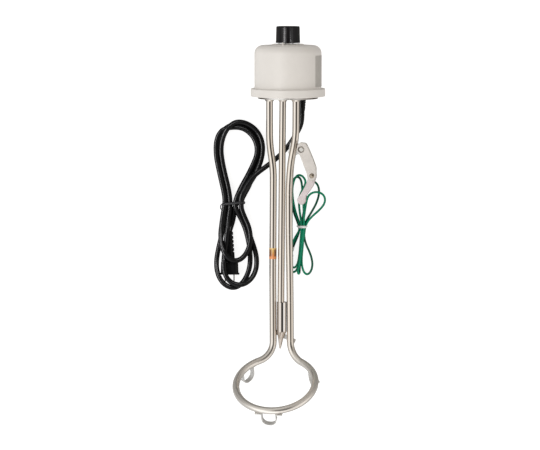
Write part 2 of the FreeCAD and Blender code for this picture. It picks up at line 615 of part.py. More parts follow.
co = co.fuse([box(cut_c[0] - 4.2, cut_c[0] - 1.8, 6.0, 7.2, cut_c[1] - 1.6, cut_c[1] + 1.6),
              box(cut_c[0] + 1.4, cut_c[0] + 3.8, 6.0, 7.2, cut_c[1] - 1.6, cut_c[1] + 1.6)])
add("thermal_cutout", co)

WR = 0.9
wires = [
    [(16.2, 6.0, -12.2), (16.2, 11.0, -12.2), (21.5, 13.5, -4.0), (19.0, 12.5, 9.0), (19.0, 7.2, 9.0)],
    [(12.2, 6.0, -15.0), (12.2, 15.0, -15.0), (1.6, 18.5, -8.0), (1.6, 18.5, 8.0), (3.0, 16.0, 16.5), (3.0, 11.0, 16.5)],
    [(24.6, 7.2, 9.0), (24.6, 16.0, 9.0), (17.5, 22.6, 4.0), (9.4, 22.6, 0.0), (9.4, 20.0, 0.0)],
    [(-3.0, 11.0, 16.5), (-3.0, 15.5, 16.5), (-12.0, 18.5, 14.0), (-21.0, 23.4, 5.0), (-21.1, 23.4, 0.0), (-21.1, 20.0, 0.0)],
    [(-9.0, 11.0, 16.5), (-9.0, 15.0, 16.5), (-9.0, 19.5, 7.0), (-9.0, 24.0, 7.0)],
    [(5.0, 2.4, -26.0), (5.0, 8.5, -26.0), (-3.0, 9.5, -25.0), (-9.0, 8.5, -21.9), (-9.0, 4.6, -21.9)],
]
solids = []
for w in wires:
    pts = [V(*p) for p in w]
    rad = [0]
    for i in range(1, len(pts) - 1):
        a, b = unit(pts[i - 1] - pts[i]), unit(pts[i + 1] - pts[i])
        turn = math.pi - a.getAngle(b)
        short = min((pts[i - 1] - pts[i]).Length, (pts[i + 1] - pts[i]).Length)
        rad.append(min(6.0, 0.42 * short / math.tan(turn / 2)) if turn > 1e-3 else 0)
    rad.append(0)
    s, _ = sweep(rounded(pts, rad), WR)
    solids.append(s)
add("lead_wires", Part.makeCompound(solids), True)

# ------------------------------------------------------------ laid down
PLACE = FreeCAD.Placement(V(REST_X - ORIGIN_X, REST_Y - ORIGIN_Y, REST_Z),
                          FreeCAD.Rotation(V(1, 0, 0), PITCH).multiply(FreeCAD.Rotation(V(0, 1, 0), -ROLL)))


def laid(s):
    s = s.copy()
    s.Placement = PLACE.multiply(s.Placement)
    return s


def row(p):
    return PLACE.multVec(p)


def lowest(s):
    return min(p.z for p in s.tessellate(0.02)[0])


# the rear left foot stands on the floor: its place on the ring follows from that
for name, deg in FEET.items():
    s = foot(deg, FOOT_DROP)
    if name == "foot_left":
        step = 1.0
        last = lowest(laid(s))
        for _ in range(12):
            if abs(last) < 0.002:
                break
            trial = foot(deg + step, FOOT_DROP)
            now = lowest(laid(trial))
            slope = (now - last) / step
            deg, step = deg + step, -now / slope
            s, last = trial, now
    print(name, "azimuth %.3f low %.4f" % (deg, lowest(laid(s))))
    FOOT_AT[name] = ring_point(deg) - RN * FOOT_DROP
    add(name, s)

OBJ = dict(SHAPES)
OUT = {k: laid(s) for k, s in OBJ.items()}


# ------------------------------------------------------------ cords on the floor
def W(px, py, z):
    k = PLAN_SCALE * (PLAN_H - z) / PLAN_H
    return V((px - PLAN_CX) * k - ORIGIN_X, (PLAN_CY - py) * k - ORIGIN_Y, z)


def plan_of(p):
    k = PLAN_SCALE * (PLAN_H - p.z) / PLAN_H
    return ((p.x + ORIGIN_X) / k + PLAN_CX, PLAN_CY - (p.y + ORIGIN_Y) / k)


def cord_tube(name, pts, d):
    rad, txt = [0], []
    runs = [(pts[i + 1] - pts[i]).Length for i in range(len(pts) - 1)]
    for i in range(1, len(pts) - 1):
        a, b = unit(pts[i - 1] - pts[i]), unit(pts[i + 1] - pts[i])
        turn = math.pi - a.getAngle(b)
        r = 0.45 * min(runs[i - 1], runs[i]) / math.tan(turn / 2)
        rad.append(r)
        txt.append("%.0f/%.0f" % (r, math.degrees(turn)))
    rad.append(0)
    edges = rounded(pts, rad)
    s, ln = sweep(edges, d / 2)
    print(name, "runs", [round(r, 1) for r in runs])
    print(name, "radius/turn", " ".join(txt))
    print(name, "least radius %.1f (%.1f diameters), length %.1f, volume ratio %.4f, zmin %.2f"
          % (min(rad[1:-1]) * SCALE, min(rad[1:-1]) / d, ln * SCALE, s.Volume / (math.pi * d * d / 4 * ln), s.BoundBox.ZMin * SCALE))
    for i in range(len(runs) - 1):
        if max(runs[i], runs[i + 1]) > 2.2 * min(runs[i], runs[i + 1]):
            print(name, "uneven runs at", i)
    return s


def prism(pts, z0, z1, zr, radii=0):
    f = face2(pts, radii, lambda a, b: V(W(a, b, zr).x, W(a, b, zr).y, z0))
    return f.extrude(V(0, 0, z1 - z0))


def stadium(p, q, w, z0):
    d = q - p
    d.z = 0
    d.normalize()
    n = V(-d.y, d.x, 0) * (w / 2)
    a, b = V(p.x, p.y, z0), V(q.x, q.y, z0)
    e = [Part.LineSegment(a + n, b + n).toShape(), Part.Arc(b + n, b + d * (w / 2), b - n).toShape(),
         Part.LineSegment(b - n, a - n).toShape(), Part.Arc(a - n, a - d * (w / 2), a + n).toShape()]
    return Part.Face(Part.Wire(e))


def strand_faces(pl, w, zr, z0):
    pts = [W(a, b, zr) for a, b in pl]
    return [stadium(pts[i], pts[i + 1], w, z0) for i in range(len(pts) - 1)]


# black supply cord: from the gland, under the stems, to its hank
gd = row(V(GLAND[0], GL_END - 10, GLAND[1])) - row(V(GLAND[0], GL_END, GLAND[1]))
gd.normalize()
G0 = row(V(GLAND[0], GL_END, GLAND[1]))
print("gland end plan", [round(v, 2) for v in plan_of(G0)], "z %.2f" % G0.z)
lead = [G0, G0 + gd * 8.2]
for px, py, z in [(300.5, 125.8, 25.6), (296.9, 132.8, 22.0), (292.6, 139.5, 18.3), (288.4, 146.3, 14.7),
                  (283.2, 152.5, 11.9), (277.0, 157.8, 9.9), (270.6, 162.6, 8.75)]:
    lead.append(W(px, py, z))
LEAD_END = W(264.2, 167.1, 8.75)
lead.append(LEAD_END)
OUT["power_cord_lead"] = cord_tube("power_cord_lead", lead, CORD_D)
ldir = unit(lead[-1] - lead[-2])

UP_OUT = [(243.4, 203.3), (245.6, 197.0), (251.0, 187.5), (256.2, 177.7), (260.3, 167.4), (263.9, 157.5), (265.1, 148.0),
          (263.2, 139.5), (259.0, 132.0), (252.5, 125.0), (245.0, 121.0), (237.0, 119.6), (229.0, 121.3),
          (221.5, 127.0), (216.3, 135.5), (213.8, 144.0), (213.5, 152.0), (214.6, 163.0), (216.6, 174.0),
          (219.0, 185.0), (220.9, 194.0), (221.6, 203.3)]
UP_IN = [(233.7, 196.5), (238.2, 187.0), (243.3, 177.0), (248.5, 167.0), (252.8, 157.5), (254.5, 148.0), (252.8, 140.0),
         (249.0, 134.5), (243.5, 131.0), (237.0, 130.0), (230.5, 132.0), (226.0, 137.5), (223.7, 146.0),
         (223.9, 156.0), (225.5, 167.0), (228.0, 178.0), (230.7, 188.0)]
LO_OUT = [(243.2, 203.3), (244.9, 209.0), (247.4, 218.0), (250.4, 227.5), (253.2, 238.4), (256.6, 249.0), (259.0, 260.0),
          (257.7, 270.0), (252.5, 279.0), (244.0, 286.3), (232.0, 289.9), (223.0, 287.0), (217.3, 279.5),
          (214.3, 271.0), (214.1, 262.5), (215.8, 251.0), (218.3, 240.5), (219.9, 230.0), (221.1, 221.6),
          (222.0, 212.0), (221.6, 203.3)]
BOOT_PY = 231.6
LO_IN = [(225.0, BOOT_PY), (241.6, BOOT_PY), (244.8, 243.0), (246.8, 256.0), (246.3, 266.0), (242.3, 274.0),
         (236.5, 279.0), (229.0, 280.6), (223.6, 277.6), (221.8, 270.0), (222.3, 258.0), (223.2, 245.0)]
ZR = 5.8
upper = prism(UP_OUT, 0, 11.7, ZR).cut(prism(UP_IN, -1, 20, ZR))
lower = prism(LO_OUT, 0, 11.7, ZR).cut(prism(LO_IN, -1, 30, ZR))
LEFT_HI = [(214.6, 247.0), (225.6, 247.0), (226.0, 262.0), (224.5, 276.0), (217.0, 276.0), (214.6, 262.0)]
BOT_HI = [(216.8, 274.0), (224.5, 274.0), (228.0, 281.2), (236.0, 280.6), (243.5, 276.5), (252.0, 277.0), (244.0, 285.8),
          (232.0, 289.4), (222.5, 286.4)]
left_hi = prism(LEFT_HI, 8, 20.5, 12)
bot_hi = prism(BOT_HI, 8, 17.4, 12)
third = [(221.0, 246.0), (223.4, 252.0), (228.0, 257.4), (233.4, 259.8), (239.6, 258.6), (244.0, 254.0), (247.6, 247.0)]
tf = strand_faces(third, 5.9, 17, 15.7)
tface = tf[0].fuse(tf[1:]).removeSplitter()
third_s = tface.extrude(V(0, 0, 5.8))
third_r = prism([(243.0, 243.0), (250.5, 243.0), (252.5, 256.0), (246.4, 258.0), (242.4, 254.0)], 8, 19.5, 12)
lug_c = LEAD_END
side = V(-ldir.y, ldir.x, 0)
lugb = [lug_c + side * 3.6, lug_c + side * 3.6 + ldir * 9.0, lug_c - side * 3.6 + ldir * 9.0, lug_c - side * 3.6]
lugb = [V(p.x, p.y, 4.6) for p in lugb]
lugs = Part.Face(Part.makePolygon(lugb + [lugb[0]])).extrude(V(0, 0, 8.0))
hank = upper.fuse([lower, left_hi, bot_hi, third_s, third_r, lugs])

# plug: two flat blades, moulded body and ribbed boot
PLUG_PX, PLUG_Z = 229.6, 7.5
pc = W(PLUG_PX, BOOT_PY, PLUG_Z)
by = W(PLUG_PX, 258.0, PLUG_Z).y
fy = W(PLUG_PX, 274.6, PLUG_Z).y
cx = pc.x
boot_top = W(PLUG_PX, BOOT_PY, ZR).y
L = boot_top - by


def plug_prof(half_w, half_t, y, r):
    pts = [V(cx - half_w, y, PLUG_Z - half_t), V(cx + half_w, y, PLUG_Z - half_t),
           V(cx + half_w, y, PLUG_Z + half_t), V(cx - half_w, y, PLUG_Z + half_t)]
    return Part.Wire(rounded(pts, [r] * 4, True))


body_w = [plug_prof(6.4, 5.4, by + 0.0, 3.6), plug_prof(9.8, 6.9, by - 5.0, 4.4), plug_prof(10.2, 7.0, fy + 2.2, 4.6)]
pb = Part.makeLoft(body_w, True, True)
oval = Part.Ellipse(V(cx + 11.3, fy + 2.2, PLUG_Z), V(cx, fy + 2.2, PLUG_Z + 7.5), V(cx, fy + 2.2, PLUG_Z))
fl = Part.Face(Part.Wire([oval.toShape()])).extrude(V(0, -2.2, 0))
pb = pb.fuse(fl)
pb = pb.makeFillet(0.5, [e for e in pb.Edges if abs(e.BoundBox.YMin - fy) < 1e-3 and abs(e.BoundBox.YMax - fy) < 1e-3])
BL_PITCH, BL_T, BL_W, BL_L = 12.7 / SCALE, 1.5 / SCALE, 6.3 / SCALE, 17.0 / SCALE
boot = Part.makeCone(3.9, 6.0, L, V(cx, boot_top, PLUG_Z), V(0, -1, 0))
boot = boot.common(box(cx - 8, cx + 8, by - 1, boot_top + 1, PLUG_Z - 5.2, PLUG_Z + 5.2))
for k in range(5):
    yy = boot_top - 3.6 - k * 4.6
    r_here = 3.9 + (boot_top - yy) / L * 2.1
    boot = boot.cut(Part.makeCylinder(9, 1.3, V(cx, yy, PLUG_Z), V(0, -1, 0)).cut(
        Part.makeCylinder(r_here - 0.9, 3.3, V(cx, yy + 1, PLUG_Z), V(0, -1, 0))))
blades = []
for sx in (-BL_PITCH / 2, BL_PITCH / 2):
    b = box(cx + sx - BL_T / 2, cx + sx + BL_T / 2, fy - BL_L, fy, PLUG_Z - BL_W / 2, PLUG_Z + BL_W / 2)
    ch = [e for e in b.Edges if abs(e.Vertexes[0].Point.y - (fy - BL_L)) < 1e-6 and abs(e.Vertexes[1].Point.y - (fy - BL_L)) < 1e-6]
    b = b.makeChamfer(0.4, ch)
    b = b.cut(cyl(1.2, V(cx + sx - 3, fy - 10.8, PLUG_Z), V(1, 0, 0), 6))
    blades.append(b.Solids[0])
OUT["plug_body"] = pb
OUT["plug_boot"] = boot
OUT["plug_blades"] = Part.makeCompound(blades)
env = [box(cx - 11.6, cx + 11.6, fy - 0.4, by + 0.6, -1, PLUG_Z + 7.8),
       box(cx - 6.6, cx + 6.6, fy - BL_L - 0.5, fy, -1, PLUG_Z + BL_W / 2 + 0.5),
       Part.makeCylinder(7.4, L - 0.01, V(cx, boot_top - 0.005, PLUG_Z), V(0, -1, 0)),
       box(cx - 7.4, cx + 7.4, by, boot_top, -1, PLUG_Z)]
hank = hank.cut(env)

# the tie round the middle of the hank
ty0, ty1 = W(232, 205.0, ZR).y, W(232, 201.6, ZR).y
tx0, tx1 = W(220.4, 203, ZR).x, W(244.0, 203, ZR).x
slab = box(tx0 - 8, tx1 + 8, ty0 - 0.1, ty1 + 0.1, -1, 30).cut(box(tx0 + 0.9, tx1 - 0.9, ty0 - 1, ty1 + 1, 0.9, 11.5))
hank = hank.cut(slab)
hank = sorted(hank.Solids, key=lambda s: -s.Volume)
print("hank solids", [round(s.Volume, 1) for s in hank])
OUT["power_cord_hank"] = hank[0].removeSplitter() if hank[0].removeSplitter().isValid() else hank[0]
tie = box(tx0, tx1, ty0, ty1, 0.0, 12.4).cut(box(tx0 + 0.9, tx1 - 0.9, ty0 - 1, ty1 + 1, 0.9, 11.5))
tw = [V(tx0 + 0.5, (ty0 + ty1) / 2, 10.6), V(tx0 - 1.6, ty0 + 0.2, 9.8), V(tx0 - 0.6, ty0 - 3.4, 9.0), V(tx0 + 2.2, ty0 - 5.6, 12.9)]
tr, _ = sweep(rounded(tw, [0, 1.4, 1.6, 0]), 0.8)
tr2 = Part.makeBox(2.2, ty1 - ty0 - 0.8, 3.0, V(tx1 - 1.0, ty0 + 0.4, 4.0))
tie = tie.fuse([tr, tr2.cut(box(tx0 + 0.9, tx1 - 0.9, ty0 - 1, ty1 + 1, 0.9, 11.5))])
tie = sorted(tie.Solids, key=lambda s: -s.Volume)
print("tie solids", [round(s.Volume, 1) for s in tie])
OUT["cord_tie"] = tie[0]
hk = sorted(OUT["power_cord_hank"].cut(tie[0]).Solids, key=lambda s: -s.Volume)
OUT["power_cord_hank"] = hk[0]

# green earth wire: down behind the right stem to its own small hank
EZ = 1.3
stem_pts = [V(STEM_R_TOP, 0, 0), V(9.2, -30, 0), V(8.4, -48, 0), V(4.3, -71, 0), V(2.6, -84, 0), V(1.6, -104, 0),
            V(1.6, -150, 0), V(2.3, -200, 0), V(3.0, -250, 0)]
stem_plan = [plan_of(row(p)) for p in stem_pts]
print("right stem plan", [(round(a, 1), round(b, 1)) for a, b in stem_plan])


def behind(py):
    for (a0_, b0_), (a1_, b1_) in zip(stem_plan, stem_plan[1:]):
        if b0_ <= py <= b1_:
            return a0_ + (a1_ - a0_) * (py - b0_) / (b1_ - b0_)
    return stem_plan[-1][0]


E0 = row(V(EARTH[0], -3.8, EARTH[1]))
ed = unit(row(V(EARTH[0], -13.8, EARTH[1])) - E0)
print("earth start plan", [round(v, 2) for v in plan_of(E0)], "z %.2f" % E0.z)
elead = [E0, E0 + ed * 16.0]
for py, dx, z in [(133.0, 0.2, 12.4), (152.0, -0.2, 9.0), (171.0, 0.3, 5.4), (189.0, -0.2, 2.6), (208.0, 0.1, 1.5), (227.0, -0.5, 1.4),
                  (242.0, -0.7, EZ)]:
    elead.append(W(behind(py) + dx, py, z))
for px, py in [(288.3, 254.0), (288.2, 262.8), (291.4, 268.2)]:
    elead.append(W(px, py, EZ))
ELEAD_END = W(296.4, 270.0, EZ)
elead.append(ELEAD_END)
OUT["earth_wire_lead"] = cord_tube("earth_wire_lead", elead, EARTH_D)
edir = unit(elead[-1] - elead[-2])

GREEN = {
    "left_up": [(299.5, 224.0), (297.4, 217.0), (295.5, 211.0), (293.6, 199.4), (293.0, 190.0), (294.8, 181.4), (298.2, 176.4),
                (302.3, 176.4), (305.6, 180.3), (304.0, 186.5), (300.4, 193.5), (299.2, 204.0), (300.6, 216.0), (301.0, 224.0)],
    "narrow_up": [(302.0, 224.0), (299.0, 206.0), (297.0, 190.0), (299.2, 178.2), (301.4, 184.0), (302.2, 192.0), (303.5, 204.0), (303.6, 224.0)],
    "right_dark": [(304.6, 224.0), (309.0, 216.8), (312.9, 210.1), (316.2, 203.6), (318.4, 197.1), (318.9, 191.6), (317.6, 186.8),
                   (314.8, 182.8), (311.0, 182.0), (308.2, 186.4), (306.5, 194.0), (305.3, 206.0), (304.6, 224.0)],
    "right_bright": [(305.4, 224.0), (309.0, 218.8), (313.6, 214.4), (318.8, 209.9), (323.0, 204.6), (324.4, 199.6), (322.8, 195.8),
                     (319.2, 193.2), (315.4, 192.5), (311.2, 193.6), (308.2, 197.4), (306.4, 205.0), (305.4, 224.0)],
    "left_low_a": [(300.0, 229.0), (297.0, 235.0), (294.0, 241.5), (293.0, 247.0)],
    "left_low_b": [(300.0, 229.0), (297.0, 235.0), (294.0, 241.5), (292.3, 250.0), (292.1, 258.0), (293.6, 265.2), (297.2, 265.6)],
    "right_low": [(303.4, 229.0), (304.4, 242.3), (307.8, 249.2), (310.6, 256.8), (311.8, 263.7), (310.6, 269.6), (307.4, 272.8),
                  (304.2, 270.6), (302.2, 264.0), (301.4, 252.0), (302.0, 229.0)],
}
faces = []
for pl in GREEN.values():
    faces += strand_faces(pl, 3.0, 2.5, 0.0)
gf = faces[0].fuse(faces[1:]).removeSplitter()
gsol = gf.extrude(V(0, 0, 4.2))
bundle_up = prism([(298.2, 206.0), (306.2, 206.0), (306.3, 224.6), (305.4, 227.0), (298.5, 227.0), (298.4, 224.6)], 0, 7.2, 3.5)
bundle_lo = prism([(298.5, 227.0), (305.4, 227.0), (304.6, 240.0), (303.6, 256.0), (301.8, 268.0), (300.2, 273.0), (297.6, 273.0),
                   (296.6, 266.0), (297.4, 254.0), (298.4, 240.0)], 0, 6.4, 3.5)
eside = V(-edir.y, edir.x, 0)
eb = [ELEAD_END + eside * 1.9, ELEAD_END + eside * 1.9 + edir * 4.4, ELEAD_END - eside * 1.9 + edir * 4.4, ELEAD_END - eside * 1.9]
eb = [V(p.x, p.y, 0.0) for p in eb]
elug = Part.Face(Part.makePolygon(eb + [eb[0]])).extrude(V(0, 0, 3.4))
gh = gsol
if gh.ShapeType != "Solid":
    print("green footprint pieces", len(gsol.Solids))
gh = gh.fuse([bundle_up, bundle_lo, elug])
gy0, gy1 = W(302, 228.3, 3.5).y, W(302, 225.7, 3.5).y
gx0, gx1 = W(297.5, 227, 3.5).x, W(306.4, 227, 3.5).x
gslab = box(gx0 - 3, gx1 + 3, gy0 - 0.05, gy1 + 0.05, -1, 20).cut(box(gx0 + 0.7, gx1 - 0.7, gy0 - 1, gy1 + 1, 0.7, 7.0))
gh = gh.cut(gslab)
gh = sorted(gh.Solids, key=lambda s: -s.Volume)
print("earth hank solids", [round(s.Volume, 1) for s in gh])
ghs = gh[0].removeSplitter()
OUT["earth_wire_hank"] = ghs if ghs.isValid() else gh[0]
et = box(gx0, gx1, gy0, gy1, 0.0, 7.7).cut(box(gx0 + 0.7, gx1 - 0.7, gy0 - 1, gy1 + 1, 0.7, 7.0))
OUT["earth_tie"] = et

# ring lug on the wire's free end, resting on the strands behind the stem
l0 = W(293.0, 247.0, 2.5)
l1 = W(290.6, 255.6, 4.2)
ld = V(l1.x - l0.x, l1.y - l0.y, 0)
ld.normalize()
lz = 4.2
LUG_R = 2.2 / SCALE    # clears a 4 mm screw
eye = Part.makeCylinder(3.1, 0.8, V(l1.x, l1.y, lz), V(0, 0, 1))
n_ = V(-ld.y, ld.x, 0)
bar0 = V(l0.x, l0.y, lz)
q = [bar0 + n_ * 1.5, V(l1.x, l1.y, lz) + n_ * 1.5, V(l1.x, l1.y, lz) - n_ * 1.5, bar0 - n_ * 1.5]
neck = Part.Face(Part.makePolygon(q + [q[0]])).extrude(V(0, 0, 0.8))
barrel = Part.makeCylinder(1.7, 4.6, V(l0.x, l0.y, lz + 1.5), ld)
lugp = eye.fuse([neck, barrel.common(box(l0.x - 20, l0.x + 20, l0.y - 20, l0.y + 20, lz, lz + 4))])
lugp = lugp.cut(Part.makeCylinder(LUG_R, 4, V(l1.x, l1.y, lz - 1), V(0, 0, 1)))
OUT["earth_lug"] = lugp.removeSplitter()

# ------------------------------------------------------------ write
cordn = {"power_cord_lead", "power_cord_hank", "plug_body", "plug_boot", "plug_blades", "cord_tie",
         "earth_wire_lead", "earth_wire_hank", "earth_lug", "earth_tie"}
bb = None
for name, s in sorted(OUT.items()):
    ok = s.isValid()
    n = len(s.Solids)
    b = s.BoundBox
    print("%-20s valid %s solids %d vol %10.1f  x %.2f %.2f y %.2f %.2f z %.3f %.2f"
          % (name, ok, n, s.Volume * SCALE ** 3, *[v * SCALE for v in (b.XMin, b.XMax, b.YMin, b.YMax, b.ZMin, b.ZMax)]))
    if name not in cordn:
        if bb is None:
            bb = FreeCAD.BoundBox(b)
        else:
            bb.add(b)
    s.scaled(SCALE, V(0, 0, 0)).exportStep("parts/%s.step" % name)
print("body box x %.3f %.3f y %.3f %.3f z %.3f %.3f centre %.3f %.3f nodes %d"
      % (*[v * SCALE for v in (bb.XMin, bb.XMax, bb.YMin, bb.YMax, bb.ZMin, bb.ZMax, (bb.XMin + bb.XMax) / 2,
                               (bb.YMin + bb.YMax) / 2)], len(OUT)))
ax = row(V(0, 1, 0)) - row(V(0, 0, 0))
az = row(V(0, 0, 1)) - row(V(0, 0, 0))
print("knob axis", [round(v, 6) for v in ax], "hook axis", [round(v, 6) for v in az])
for nm, p in (("knob pos", V(0, 70, 0)), ("pivot", V(PIV[0], PIV[1], 0)), ("rivet", V(RIV[0], RIV[1], 0)),
              ("stem mount", stem_l(-207.5)), ("stem a", stem_l(-190)), ("stem b", stem_l(-225)), ("gland end", V(GLAND[0], GL_END, GLAND[1])),
              ("ring centre", RC), ("earth exit", V(EARTH[0], -3.8, EARTH[1]))):
    r = row(p)
    print(nm, [round(v * SCALE, 3) for v in r], "plan", [round(v, 2) for v in plan_of(r)])
for nm in FEET:
    print(nm, "rests at", [round(v, 3) for v in row(FOOT_AT[nm])])
for nm, pts in (("lead", lead), ("elead", elead)):
    print(nm, [(round(p.x * SCALE, 2), round(p.y * SCALE, 2), round(p.z * SCALE, 2)) for p in pts])
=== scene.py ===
import bpy
import bmesh
import json
import math
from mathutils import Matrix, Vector

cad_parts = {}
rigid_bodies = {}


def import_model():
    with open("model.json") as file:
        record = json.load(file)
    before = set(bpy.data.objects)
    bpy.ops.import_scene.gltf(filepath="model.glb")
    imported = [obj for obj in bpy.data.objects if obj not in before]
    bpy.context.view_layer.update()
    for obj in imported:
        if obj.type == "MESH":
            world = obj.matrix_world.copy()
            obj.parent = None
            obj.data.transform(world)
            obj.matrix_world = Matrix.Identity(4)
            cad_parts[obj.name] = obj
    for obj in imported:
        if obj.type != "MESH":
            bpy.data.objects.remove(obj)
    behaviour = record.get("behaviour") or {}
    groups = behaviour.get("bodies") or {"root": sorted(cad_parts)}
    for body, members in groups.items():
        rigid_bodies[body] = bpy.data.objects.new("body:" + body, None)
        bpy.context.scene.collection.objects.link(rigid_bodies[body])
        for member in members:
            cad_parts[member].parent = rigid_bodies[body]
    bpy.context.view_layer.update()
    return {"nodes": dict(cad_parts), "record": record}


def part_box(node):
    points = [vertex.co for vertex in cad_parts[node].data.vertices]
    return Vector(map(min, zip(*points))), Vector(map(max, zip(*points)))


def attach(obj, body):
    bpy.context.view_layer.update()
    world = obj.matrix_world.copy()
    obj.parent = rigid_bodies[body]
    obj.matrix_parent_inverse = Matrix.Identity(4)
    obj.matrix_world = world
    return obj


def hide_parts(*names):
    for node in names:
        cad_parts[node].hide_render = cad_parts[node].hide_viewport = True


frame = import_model()
nodes = frame["nodes"]
scene = bpy.context.scene
scene.view_settings.view_transform = "Standard"

# ---------------------------------------------------------------- camera
cam = bpy.data.objects.new("camera", bpy.data.cameras.new("camera"))
scene.collection.objects.link(cam)
cam.location = (-0.012454, 0.0001, 3.125)
cam.rotation_euler = (0, 0, 0)
cam.data.sensor_width = 36
cam.data.lens = 144.93
cam.data.clip_start, cam.data.clip_end = 0.1, 20
scene.camera = cam

